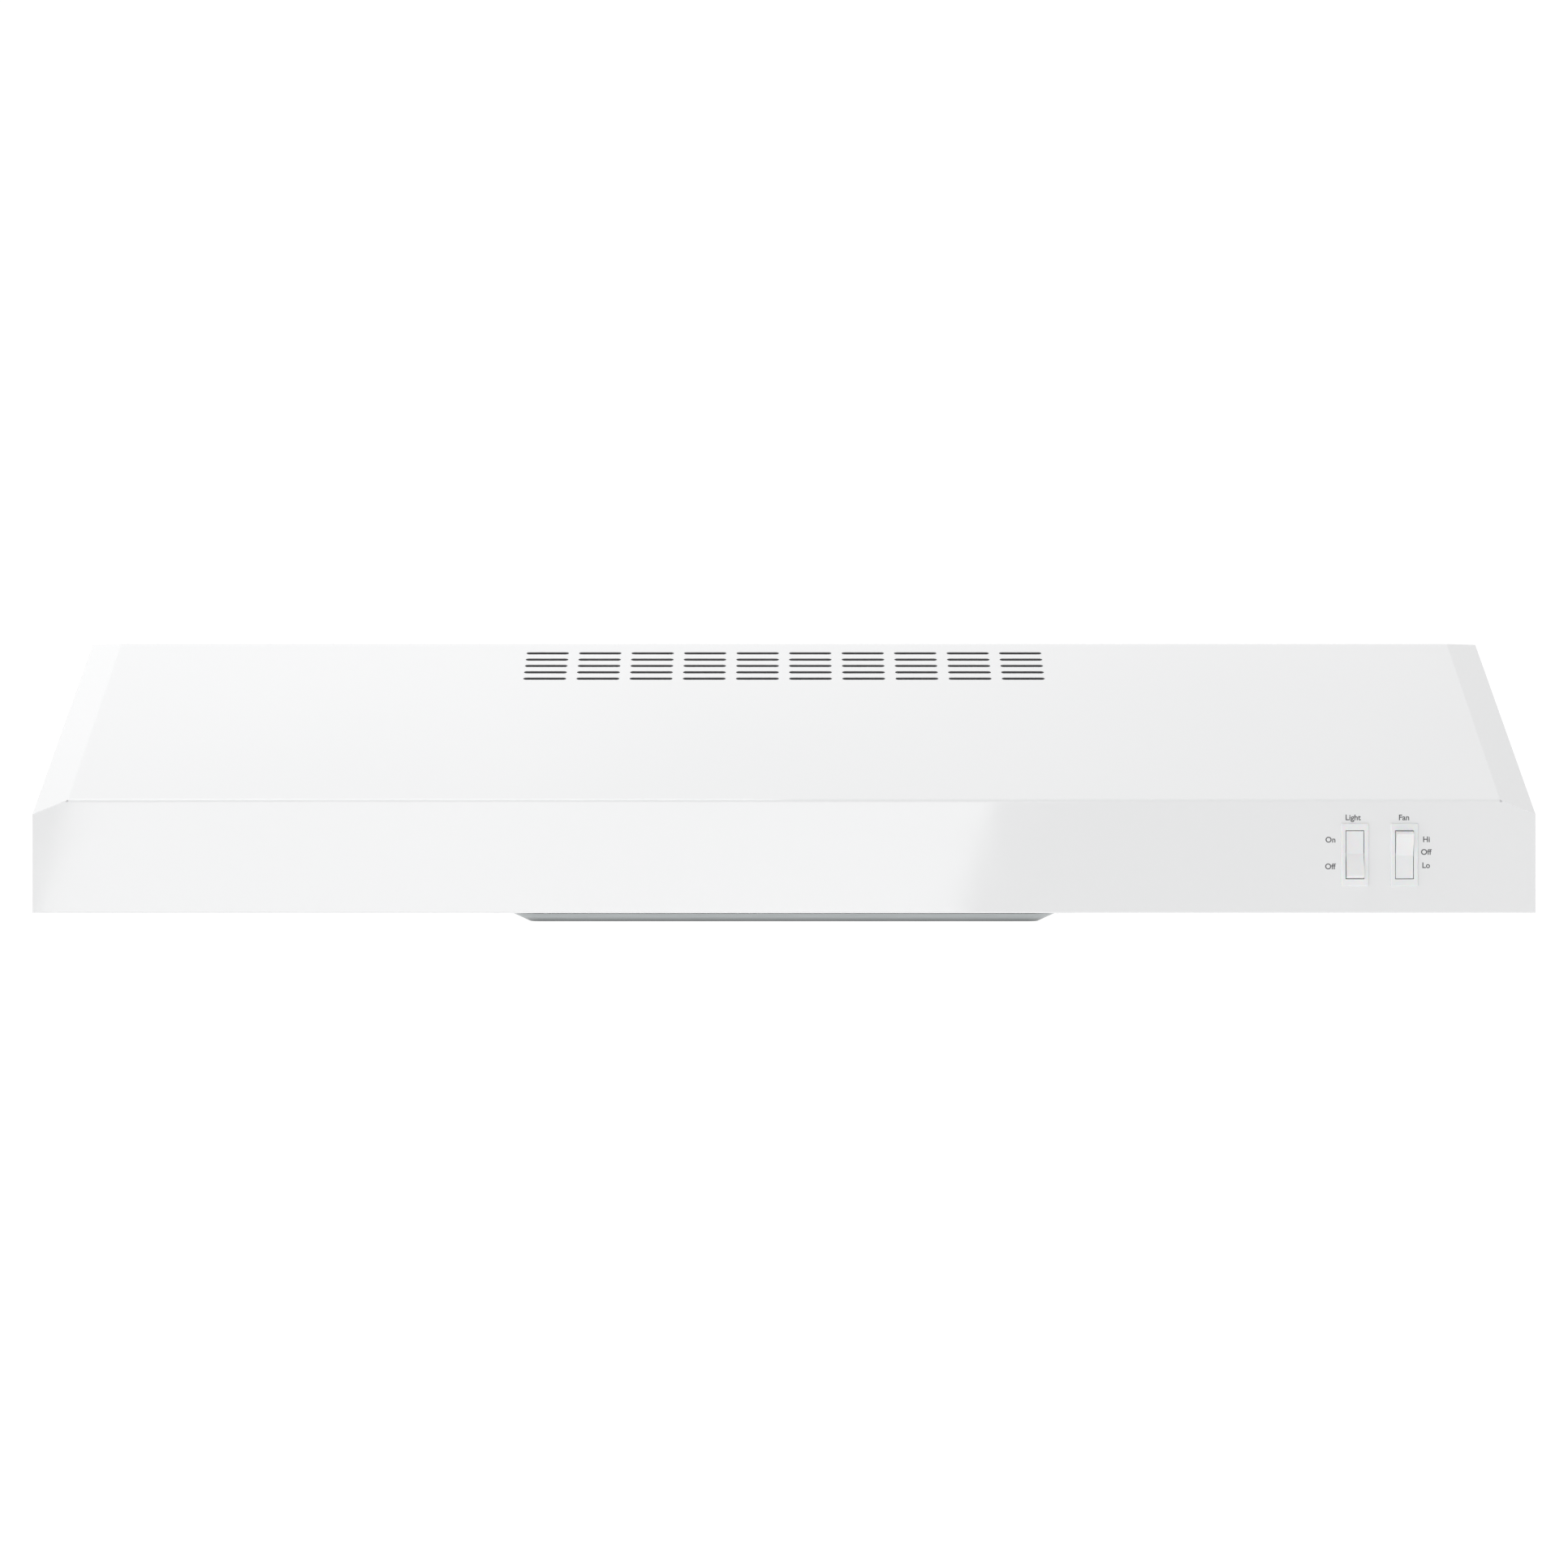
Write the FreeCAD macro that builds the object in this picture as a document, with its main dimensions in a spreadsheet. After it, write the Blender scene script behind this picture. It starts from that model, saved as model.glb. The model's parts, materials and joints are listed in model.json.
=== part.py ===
import FreeCAD, Part
import math
import os
import Sketcher

# Under cabinet range hood, 30 inch class.
# Frame: the origin is the middle of the four cabinet keyholes on the top face (z = 0),
# +Z is up, the front faces -Y and +X is the right-hand side of somebody at the stove.

os.makedirs("parts", exist_ok=True)
doc = FreeCAD.newDocument("range_hood")
sizes = doc.addObject("Spreadsheet::Sheet", "sizes")

# ---------------------------------------------------------------- sizes (millimetres)

DIMENSIONS = (
    ("width", 758.8, "outside width, 29-7/8 in"),
    ("depth", 504.8, "outside depth, 19-7/8 in"),
    ("height", 141.5, "top face to bottom edge of the canopy"),
    ("sheet_t", 0.8, "steel sheet of the canopy and the fan box"),
    ("wall_y", 165.0, "rear face, against the wall"),
    ("lip_height", 57.1, "front lip, bottom edge to crease"),
    ("slope_run", 176.5, "front face to the fold with the flat top"),
    ("bevel_width", 17.9, "corner bevel, across"),
    ("bevel_drop", 7.3, "corner bevel, down"),
    ("bend_r", 2.0, "outer radius of the canopy bends"),
    ("hem_width", 10.0, "return hem along the bottom edges"),
    ("edge_r", 0.7, "rounding under the front hem"),
    ("flange_width", 12.0, "turned-in flange round each side panel"),
    ("vent_pitch", 28.49, "vent slots, across"),
    ("vent_length", 22.7, "vent slot length"),
    ("vent_width", 3.0, "vent slot width along the slope"),
    ("vent_first", 12.5, "fold to first row of slots, along the slope"),
    ("vent_row_pitch", 8.4, "rows of slots, along the slope"),
    ("key_x", 330.0, "cabinet keyholes, half spacing across"),
    ("key_y", 115.0, "cabinet keyholes, half spacing front to back"),
    ("key_r", 5.5, "keyhole entry radius"),
    ("key_slot_r", 2.5, "keyhole slot half width"),
    ("key_slot_run", 9.5, "keyhole slot, entry centre to end centre"),
    ("slit", 1.0, "width of knockout slits"),
    ("round_ko_r", 89.0, "7 in round duct knockout"),
    ("round_ko_y", -30.0, "centre of the round knockout"),
    ("duct_w", 254.0, "duct collar outside width, 10 in"),
    ("duct_h", 82.5, "duct collar outside height, 3-1/4 in"),
    ("duct_z", -53.0, "duct collar centre height"),
    ("top_ko_y", 111.0, "centre of the top rectangular knockout"),
    ("wiring_x", 238.0, "wiring entry across"),
    ("wiring_y", 84.0, "wiring entry front to back"),
    ("wiring_r", 11.1, "wiring entry radius, 7/8 in trade size"),
    ("wiring_z", -23.4, "rear wiring knockout height"),
    ("light_x", 288.1, "light switch centre"),
    ("fan_x", 313.1, "fan switch centre"),
    ("switch_z", -112.1, "switch centres, height"),
    ("bezel_w", 14.1, "switch bezel width"),
    ("bezel_h", 31.8, "switch bezel height"),
    ("bezel_t", 1.0, "switch bezel proud of the lip"),
    ("housing_w", 12.0, "switch housing width"),
    ("housing_h", 27.8, "switch housing height"),
    ("housing_d", 20.0, "switch housing depth behind the front face"),
    ("rocker_w", 8.8, "rocker width"),
    ("rocker_r", 12.15, "rocker end radius about its pivot"),
    ("rocker_back", 3.5, "rocker thickness behind its pivot"),
    ("rocker_nose", 2.3, "rocker middle in front of its pivot"),
    ("pivot_in", 1.5, "rocker pivot behind the front face"),
    ("rocker_tilt", 10.0, "rocker tilt each way, degrees"),
    ("trunnion_r", 1.2, "rocker pivot pin radius"),
    ("well_w", 9.4, "rocker opening width"),
    ("well_h", 24.6, "rocker opening height"),
    ("fit", 0.05, "radial running fit of the small hinges"),
    ("box_half", 158.4, "fan box, half width outside"),
    ("box_flange", 13.0, "fan box flanges, inward"),
    ("box_bottom", -146.8, "underside of the fan box flanges"),
    ("baffle_y", -164.0, "front face of the front baffle"),
    ("baffle_bend_z", -62.0, "height where the front baffle leans forward"),
    ("baffle_top_y", -228.0, "where the front baffle meets the slope"),
    ("deck_z", -96.0, "underside of the fan deck"),
    ("deck_flange", 12.0, "upturned sides of the fan deck"),
    ("fan_y", 22.0, "fan axis front to back"),
    ("orifice_r", 114.0, "fan orifice outer radius"),
    ("ring_t", 2.0, "fan orifice ring thickness"),
    ("ring_low", -110.0, "bottom of the fan orifice ring"),
    ("blade_r", 108.0, "fan tip radius"),
    ("hub_r", 28.0, "fan hub radius"),
    ("hub_low", -110.0, "bottom of the fan hub"),
    ("hub_high", -83.5, "top of the fan hub"),
    ("blade_z", -97.0, "middle height of the blades"),
    ("blade_t", 1.6, "fan blade thickness"),
    ("shaft_r", 4.0, "motor shaft radius"),
    ("shaft_low", -113.0, "bottom end of the motor shaft"),
    ("shaft_high", -19.0, "top end of the motor shaft"),
    ("bearing_gap", 0.03, "radial running fit of the motor bearings"),
    ("bearing_r", 7.0, "motor bearing outer radius"),
    ("bracket_low", -73.2, "underside of the motor bracket"),
    ("bracket_t", 1.2, "motor bracket sheet"),
    ("bracket_half", 130.0, "motor bracket legs, half spacing"),
    ("bracket_w", 44.0, "motor bracket width"),
    ("bell_low", -68.0, "bottom of the lower end bell"),
    ("core_low", -58.0, "bottom of the lamination stack"),
    ("core_high", -32.0, "top of the lamination stack"),
    ("bell_high", -22.0, "top of the upper end bell"),
    ("bell_r", 25.0, "end bell radius"),
    ("bell_t", 1.5, "end bell wall"),
    ("core_half", 34.0, "lamination stack, half width"),
    ("core_front", 32.0, "axis to front of the stack"),
    ("core_bore_r", 22.0, "stator bore radius"),
    ("rotor_r", 21.6, "rotor radius"),
    ("tray_top", -147.0, "top edge of the filter tray"),
    ("tray_low", -151.5, "underside of the filter tray"),
    ("tray_half", 148.6, "filter tray, half width at the top edge"),
    ("tray_half_low", 138.8, "filter tray, half width at the underside"),
    ("tray_front", -165.0, "filter tray front edge"),
    ("tray_rear", 150.0, "filter tray rear edge"),
    ("tray_t", 0.9, "filter tray sheet"),
    ("hinge_y", 154.5, "tray hinge axis, front to back"),
    ("hinge_z", -149.0, "tray hinge axis, height"),
    ("hinge_rod_r", 1.5, "tray hinge rod radius"),
    ("hinge_ear_x", 90.0, "tray hinge ears start here"),
    ("hinge_ear_w", 6.0, "tray hinge ear width"),
    ("lamp_y", -129.0, "bulb axis front to back"),
    ("lamp_z", -121.5, "bulb axis height"),
    ("bulb_r", 20.0, "bulb radius"),
    ("base_r", 13.0, "bulb screw base radius"),
    ("flap_y", 174.0, "damper pivot front to back"),
    ("flap_z", -15.5, "damper pivot height"),
    ("flap_w", 249.0, "damper flap width"),
    ("flap_drop", 75.0, "damper flap below its pivot"),
    ("gasket_t", 1.5, "foam gasket behind the collar flange"),
    ("collar_end", 200.0, "rear end of the duct collar"),
    ("collar_flange", 10.0, "duct collar flange"),
    ("wbox_x0", 170.0, "wiring box, left"),
    ("wbox_x1", 262.0, "wiring box, right"),
    ("wbox_y0", 20.0, "wiring box, front"),
    ("wbox_low", -46.0, "wiring box, underside"),
    ("bush_y", 60.0, "motor wire bushing, front to back"),
    ("bush_z", -30.0, "motor wire bushing, height"),
    ("wire_r", 1.1, "wire radius over insulation"),
    ("screw_r", 1.9, "sheet metal screw radius"),
    ("screw_head_r", 3.9, "sheet metal screw head radius"),
    ("screw_head_t", 2.2, "sheet metal screw head height"),
)


class Dim:
    """A length together with the spreadsheet text that drives it."""

    def __init__(self, value, text):
        self.value = float(value)
        self.text = text

    def __add__(self, other):
        other = as_dim(other)
        return Dim(self.value + other.value, f"({self.text} + {other.text})")

    def __sub__(self, other):
        other = as_dim(other)
        return Dim(self.value - other.value, f"({self.text} - {other.text})")

    def __mul__(self, other):
        other = as_dim(other)
        return Dim(self.value * other.value, f"({self.text} * {other.text})")

    def __truediv__(self, other):
        other = as_dim(other)
        return Dim(self.value / other.value, f"({self.text} / {other.text})")

    def __radd__(self, other):
        return as_dim(other) + self

    def __rsub__(self, other):
        return as_dim(other) - self

    def __rmul__(self, other):
        return as_dim(other) * self

    def __rtruediv__(self, other):
        return as_dim(other) / self

    def __neg__(self):
        return Dim(-self.value, f"(0 - {self.text})")


def as_dim(value):
    if isinstance(value, Dim):
        return value
    return Dim(value, f"({round(float(value), 6)})")


def root(value):
    return Dim(math.sqrt(value.value), f"sqrt({value.text})")


class Sizes:
    """Every row of the spreadsheet, by name."""


d = Sizes()
sheet_row = [1]


def write_cell(name, content, note):
    row = sheet_row[0]
    sizes.set(f"A{row}", name)
    sizes.set(f"B{row}", content)
    sizes.set(f"C{row}", note)
    sizes.setAlias(f"B{row}", name)
    sheet_row[0] = row + 1


def derived(name, value, note="worked out"):
    """Keep a worked-out length in the spreadsheet under its own name."""
    write_cell(name, "=" + value.text, note)
    named = Dim(value.value, f"sizes.{name}")
    setattr(d, name, named)
    return named


for cell_name, cell_value, cell_note in DIMENSIONS:
    write_cell(cell_name, str(cell_value), cell_note)
    setattr(d, cell_name, Dim(cell_value, f"sizes.{cell_name}"))

doc.recompute()

derived("half", d.width / 2, "half width")
derived("front_y", d.wall_y - d.depth, "front face")
derived("base_z", -d.height, "bottom edge")
derived("crease_z", d.lip_height - d.height, "crease over the lip")
derived("corner_z", d.crease_z - d.bevel_drop, "top outer corner of the lip")
derived("fold_y", d.front_y + d.slope_run, "fold with the flat top")
derived("slope", (-d.crease_z) / d.slope_run, "rise over run of the slope")
derived("secant", root(1 + d.slope * d.slope), "slope length over run")
derived("sheet_drop", d.sheet_t * d.secant, "slope sheet measured straight down")
derived("inner_y", d.wall_y - d.sheet_t, "front face of the back panel")
derived("bevel_x", d.half - d.bevel_width, "where the bevel starts")
derived("box_in", d.box_half - d.box_flange, "inner edge of the fan box flanges")
derived("pivot_y", d.front_y + d.pivot_in, "rocker pivots, front to back")

# ---------------------------------------------------------------- helpers

nodes = {}
PLANE = {"XY": "XY_Plane", "XZ": "XZ_Plane", "YZ": "YZ_Plane"}


def bind(item, prop, value):
    item.setExpression(prop, as_dim(value).text)


def origin_item(body, role):
    for item in body.Origin.OriginFeatures:
        if item.Role == role:
            return item
    raise ValueError(role)


def pin(sketch, geo, pos, x, y):
    """Tie one point of the sketch to the origin by bound distances."""
    for kind, value, axis in (("DistanceX", as_dim(x), -2), ("DistanceY", as_dim(y), -1)):
        if abs(value.value) < 1e-9:
            sketch.addConstraint(Sketcher.Constraint("PointOnObject", geo, pos, axis))
        elif value.value > 0:
            row = sketch.addConstraint(Sketcher.Constraint(kind, -1, 1, geo, pos, value.value))
            sketch.setExpression(f"Constraints[{row}]", value.text)
        else:
            row = sketch.addConstraint(Sketcher.Constraint(kind, geo, pos, -1, 1, -value.value))
            sketch.setExpression(f"Constraints[{row}]", (-value).text)


def point(x, y):
    return FreeCAD.Vector(as_dim(x).value, as_dim(y).value, 0)


def draw_polygon(sketch, corners):
    first = sketch.GeometryCount
    count = len(corners)
    for i in range(count):
        ahead = corners[(i + 1) % count]
        sketch.addGeometry(Part.LineSegment(point(*corners[i]), point(*ahead)))
    for i in range(count):
        link = Sketcher.Constraint("Coincident", first + i, 2, first + (i + 1) % count, 1)
        sketch.addConstraint(link)
    for i in range(count):
        pin(sketch, first + i, 1, *corners[i])


def set_radius(sketch, geo, radius):
    row = sketch.addConstraint(Sketcher.Constraint("Radius", geo, as_dim(radius).value))
    sketch.setExpression(f"Constraints[{row}]", as_dim(radius).text)


def draw_circle(sketch, x, y, radius):
    circle = Part.Circle(point(x, y), FreeCAD.Vector(0, 0, 1), as_dim(radius).value)
    geo = sketch.addGeometry(circle)
    pin(sketch, geo, 3, x, y)
    set_radius(sketch, geo, radius)


def draw_slot(sketch, start, end, radius):
    """Round-ended slot between two centres that share an x or a y."""
    a = point(*start)
    b = point(*end)
    along = (b - a).normalize()
    side = FreeCAD.Vector(-along.y, along.x, 0) * as_dim(radius).value
    tip = along * as_dim(radius).value
    first = sketch.addGeometry(Part.LineSegment(a - side, b - side))
    sketch.addGeometry(Part.Arc(b - side, b + tip, b + side))
    sketch.addGeometry(Part.LineSegment(b + side, a + side))
    sketch.addGeometry(Part.Arc(a + side, a - tip, a - side))
    for i in range(4):
        link = Sketcher.Constraint("Tangent", first + i, 2, first + (i + 1) % 4, 1)
        sketch.addConstraint(link)
    pin(sketch, first + 1, 3, *end)
    pin(sketch, first + 3, 3, *start)
    set_radius(sketch, first + 1, radius)
    sketch.addConstraint(Sketcher.Constraint("Equal", first + 1, first + 3))


def draw_rounded(sketch, x0, x1, y0, y1, radius):
    """Rectangle with four equal rounded corners."""
    radius = as_dim(radius)
    centres = [
        (as_dim(x0) + radius, as_dim(y0) + radius),
        (as_dim(x1) - radius, as_dim(y0) + radius),
        (as_dim(x1) - radius, as_dim(y1) - radius),
        (as_dim(x0) + radius, as_dim(y1) - radius),
    ]
    first = sketch.GeometryCount
    r = radius.value
    for i in range(4):
        turn = i * math.pi / 2
        here = point(*centres[i])
        ahead = point(*centres[(i + 1) % 4])
        out = FreeCAD.Vector(math.sin(turn), -math.cos(turn), 0) * r
        after = FreeCAD.Vector(math.cos(turn), math.sin(turn), 0) * r
        bulge = (out + after) * math.sqrt(0.5)
        sketch.addGeometry(Part.LineSegment(here + out, ahead + out))
        sketch.addGeometry(Part.Arc(ahead + out, ahead + bulge, ahead + after))
    for i in range(8):
        link = Sketcher.Constraint("Tangent", first + i, 2, first + (i + 1) % 8, 1)
        sketch.addConstraint(link)
    for i in range(4):
        pin(sketch, first + 2 * i + 1, 3, *centres[(i + 1) % 4])
    set_radius(sketch, first + 1, radius)
    for i in range(1, 4):
        sketch.addConstraint(Sketcher.Constraint("Equal", first + 1, first + 2 * i + 1))


def draw(sketch, loops):
    for loop in loops:
        if loop[0] == "circle":
            draw_circle(sketch, *loop[1:])
        elif loop[0] == "slot":
            draw_slot(sketch, *loop[1:])
        elif loop[0] == "rounded":
            draw_rounded(sketch, *loop[1:])
        else:
            draw_polygon(sketch, loop)


def rect(x0, x1, y0, y1):
    return [(x0, y0), (x1, y0), (x1, y1), (x0, y1)]


def new_body(label):
    body = doc.addObject("PartDesign::Body", label)
    body.Label = label
    return body


def new_sketch(body, plane, loops, offset=0):
    sketch = body.newObject("Sketcher::SketchObject", body.Label + "_sketch")
    sketch.AttachmentSupport = (origin_item(body, PLANE[plane]), [""])
    sketch.MapMode = "FlatFace"
    bind(sketch, "AttachmentOffset.Base.z", offset)
    draw(sketch, loops)
    return sketch


def check_feature(feature, before, grows):
    """A pad has to add material and a pocket has to remove some."""
    doc.recompute()
    change = feature.Shape.Volume - before
    if change * (1 if grows else -1) < 1e-3:
        raise ValueError(f"{feature.Label} changed nothing ({change})")
    return feature


def volume_of(body):
    return body.Shape.Volume if body.Shape and not body.Shape.isNull() else 0.0


def pad(body, plane, loops, low, high):
    """Add material between two coordinates on the axis normal to the plane."""
    low = as_dim(low)
    high = as_dim(high)
    before = volume_of(body)
    sketch = new_sketch(body, plane, loops, -high if plane == "XZ" else low)
    feature = body.newObject("PartDesign::Pad", body.Label + "_pad")
    feature.Profile = sketch
    bind(feature, "Length", high - low)
    return check_feature(feature, before, True)


def pocket(body, plane, loops, low, high):
    """Remove material between two coordinates on the axis normal to the plane."""
    low = as_dim(low)
    high = as_dim(high)
    before = volume_of(body)
    sketch = new_sketch(body, plane, loops, -low if plane == "XZ" else high)
    feature = body.newObject("PartDesign::Pocket", body.Label + "_pocket")
    feature.Profile = sketch
    bind(feature, "Length", high - low)
    return check_feature(feature, before, False)


def slanted_pocket(body, plane, loops, offset, direction, length):
    """Remove material along a bound direction."""
    before = volume_of(body)
    sketch = new_sketch(body, plane, loops, offset)
    feature = body.newObject("PartDesign::Pocket", body.Label + "_pocket")
    feature.Profile = sketch
    feature.UseCustomVector = True
    feature.Direction = FreeCAD.Vector(*[as_dim(part).value for part in direction])
    for axis, part in zip("xyz", direction):
        bind(feature, f"Direction.{axis}", part)
    bind(feature, "Length", length)
    return check_feature(feature, before, False)


def middle(edge):
    return edge.valueAt((edge.FirstParameter + edge.LastParameter) / 2)


def round_edges(body, picks, radius):
    """Round the edges whose middle passes the test."""
    base = body.Tip
    names = []
    for number, edge in enumerate(base.Shape.Edges, 1):
        if picks(middle(edge), edge):
            names.append(f"Edge{number}")
    feature = body.newObject("PartDesign::Fillet", body.Label + "_bend")
    feature.Base = (base, names)
    bind(feature, "Radius", radius)
    doc.recompute()
    return feature


def shell(body, opened, thickness):
    """Hollow the body inwards, leaving out the faces that pass the test."""
    base = body.Tip
    names = []
    for number, face in enumerate(base.Shape.Faces, 1):
        if opened(face.BoundBox):
            names.append(f"Face{number}")
    feature = body.newObject("PartDesign::Thickness", body.Label + "_sheet")
    feature.Base = (base, names)
    feature.Mode = "Skin"
    feature.Join = "Arc"
    feature.Reversed = True
    bind(feature, "Value", thickness)
    doc.recompute()
    return feature


def near(a, b, within=0.05):
    return abs(as_dim(a).value - as_dim(b).value) < within


def grid(body, feature, across, columns, back, rows):
    """Repeat one feature in columns along +X and rows along -Y."""
    pattern = body.newObject("PartDesign::LinearPattern", body.Label + "_pattern")
    pattern.Originals = [feature]
    pattern.Direction = (origin_item(body, "X_Axis"), [""])
    pattern.Occurrences = columns
    bind(pattern, "Length", across * (columns - 1))
    if rows > 1:
        pattern.Direction2 = (origin_item(body, "Y_Axis"), [""])
        pattern.Reversed2 = True
        pattern.Occurrences2 = rows
        bind(pattern, "Length2", back * (rows - 1))
    body.Tip = pattern
    doc.recompute()
    return pattern


def hatch(body, feature, count):
    """Repeat one feature round the Z axis of the body."""
    pattern = body.newObject("PartDesign::PolarPattern", body.Label + "_pattern")
    pattern.Originals = [feature]
    pattern.Axis = (origin_item(body, "Z_Axis"), [""])
    pattern.Angle = 360
    pattern.Occurrences = count
    body.Tip = pattern
    doc.recompute()
    return pattern


def place(item, x, y, z):
    for axis, value in zip("xyz", (x, y, z)):
        bind(item, f"Placement.Base.{axis}", value)


def block(label, x0, x1, y0, y1, z0, z1):
    item = doc.addObject("Part::Box", label)
    item.Label = label
    bind(item, "Length", as_dim(x1) - x0)
    bind(item, "Width", as_dim(y1) - y0)
    bind(item, "Height", as_dim(z1) - z0)
    place(item, x0, y0, z0)
    return item


TURN = {
    "X": FreeCAD.Rotation(FreeCAD.Vector(0, 1, 0), 90),
    "Y": FreeCAD.Rotation(FreeCAD.Vector(1, 0, 0), -90),
    "Z": FreeCAD.Rotation(),
}


def rod(label, axis, x, y, z, radius, length):
    """Cylinder that starts at x, y, z and runs along + axis."""
    item = doc.addObject("Part::Cylinder", label)
    item.Label = label
    item.Placement = FreeCAD.Placement(FreeCAD.Vector(), TURN[axis])
    place(item, x, y, z)
    bind(item, "Radius", radius)
    bind(item, "Height", length)
    return item


def cone(label, axis, x, y, z, radius, end_radius, length):
    item = doc.addObject("Part::Cone", label)
    item.Label = label
    item.Placement = FreeCAD.Placement(FreeCAD.Vector(), TURN[axis])
    place(item, x, y, z)
    bind(item, "Radius1", radius)
    bind(item, "Radius2", end_radius)
    bind(item, "Height", length)
    return item


def fuse(label, items):
    if len(items) == 1:
        items[0].Label = label
        return items[0]
    item = doc.addObject("Part::MultiFuse", label)
    item.Label = label
    item.Shapes = items
    item.Refine = True
    return item


def group(label, items):
    """Separate solids of one kind kept together as one piece."""
    item = doc.addObject("Part::Compound", label)
    item.Label = label
    item.Links = items
    return item


def cut(label, base, tools):
    item = doc.addObject("Part::Cut", label)
    item.Label = label
    item.Base = base
    item.Tool = tools[0] if len(tools) == 1 else fuse(label + "_tools", tools)
    item.Refine = True
    return item


def keep(item):
    """Remember a finished sub-part under its label."""
    nodes[item.Label] = item
    return item


def screw(label, axis, sign, x, y, z, length, radius=None, head=None):
    """Pan head screw: head on the outside of the point, shank along sign * axis."""
    radius = radius or d.screw_r
    head = head or d.screw_head_r
    spot = {"X": as_dim(x), "Y": as_dim(y), "Z": as_dim(z)}
    start = dict(spot)
    top = dict(spot)
    if sign > 0:
        top[axis] = spot[axis] - d.screw_head_t
    else:
        start[axis] = spot[axis] - length
    shank = rod(label + "_shank", axis, start["X"], start["Y"], start["Z"], radius, length)
    cap = rod(label + "_head", axis, top["X"], top["Y"], top["Z"], head, d.screw_head_t)
    return fuse(label, [shank, cap])


def offset_line(name, points, gap):
    """The same open line moved sideways by gap, each corner kept in the spreadsheet."""
    steps = []
    for (ax, ay), (bx, by) in zip(points, points[1:]):
        dx = as_dim(bx) - ax
        dy = as_dim(by) - ay
        run = root(dx * dx + dy * dy)
        steps.append((-(dy / run), dx / run))
    moved = []
    for i, (x, y) in enumerate(points):
        if i == 0:
            nx, ny = steps[0]
            scale = as_dim(gap)
        elif i == len(points) - 1:
            nx, ny = steps[-1]
            scale = as_dim(gap)
        else:
            (ax, ay), (bx, by) = steps[i - 1], steps[i]
            nx = ax + bx
            ny = ay + by
            scale = gap / (1 + ax * bx + ay * by)
        moved.append((
            derived(f"{name}_{i}_u", x + nx * scale),
            derived(f"{name}_{i}_v", y + ny * scale),
        ))
    return moved


outlines = {}


def plan_strip(name, points, gap):
    """Closed outline of bent sheet whose one side runs through the points."""
    outlines[name] = list(points) + list(reversed(offset_line(name, points, gap)))

# ---------------------------------------------------------------- canopy

SIDES = (("left", -1), ("right", 1))
SWITCH_CLEAR = 0.1
SCREW_ROWS = (-30.0, -75.0, -120.0)
SIDE_SCREW_IN = 6.0


def mirrored(side, low, high):
    """Span between two distances from the middle, on the given side."""
    if side > 0:
        return as_dim(low), as_dim(high)
    return -as_dim(high), -as_dim(low)


def profile_of_canopy():
    return [
        (d.front_y, d.base_z),
        (d.front_y, d.crease_z),
        (d.fold_y, 0),
        (d.wall_y, 0),
        (d.wall_y, d.base_z),
    ]


def make_canopy():
    """One folded sheet: hem, lip, slope, corner bevels and flat top."""
    body = new_body("canopy")
    pad(body, "YZ", [profile_of_canopy()], -d.half, d.half)
    for _, side in SIDES:
        corner = [
            (d.half * side, d.corner_z),
            (d.bevel_x * side, d.crease_z),
            (d.bevel_x * side, d.crease_z + 50),
            ((d.half + 20) * side, d.crease_z + 50),
            ((d.half + 20) * side, d.corner_z),
        ]
        slanted_pocket(body, "XZ", [corner], -d.front_y, (0, 1, d.slope), d.depth * 0.8)

    def soft_bend(p, _):
        along_crease = near(p.y, d.front_y) and near(p.z, d.crease_z)
        along_fold = near(p.y, d.fold_y) and near(p.z, 0)
        along_bevel = near(abs(p.x), d.bevel_x)
        return along_crease or along_fold or along_bevel

    round_edges(body, soft_bend, d.bend_r)

    def left_open(box):
        underneath = near(box.ZMax, d.base_z)
        behind = near(box.YMin, d.wall_y)
        at_side = near(abs(box.XMin), d.half) and near(box.XMin, box.XMax)
        return underneath or behind or at_side

    shell(body, left_open, d.sheet_t)
    hem_half = d.half - d.flange_width - 1
    hem = rect(-hem_half, hem_half, d.front_y + d.sheet_t / 2, d.front_y + d.hem_width)
    pad(body, "XY", [hem], d.base_z, d.base_z + d.sheet_t)

    def under_hem(p, _):
        return near(p.y, d.front_y) and near(p.z, d.base_z)

    round_edges(body, under_hem, d.edge_r)
    cut_vents(body)
    cut_top(body)
    cut_lip(body)
    return keep(body)


def cut_vents(body):
    """Ten columns by five rows of slots punched square to the slope."""
    start_x = d.vent_pitch * -4.5
    reach = (d.vent_length - d.vent_width) / 2
    flat_y = d.fold_y - d.vent_first * d.secant
    slot = ("slot", (start_x - reach, flat_y), (start_x + reach, flat_y), d.vent_width * d.secant / 2)
    lean = (0, d.slope / d.secant, -1 / d.secant)
    first = slanted_pocket(body, "XY", [slot], 0, lean, 30)
    grid(body, first, d.vent_pitch, 10, d.vent_row_pitch * d.secant, 5)


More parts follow.
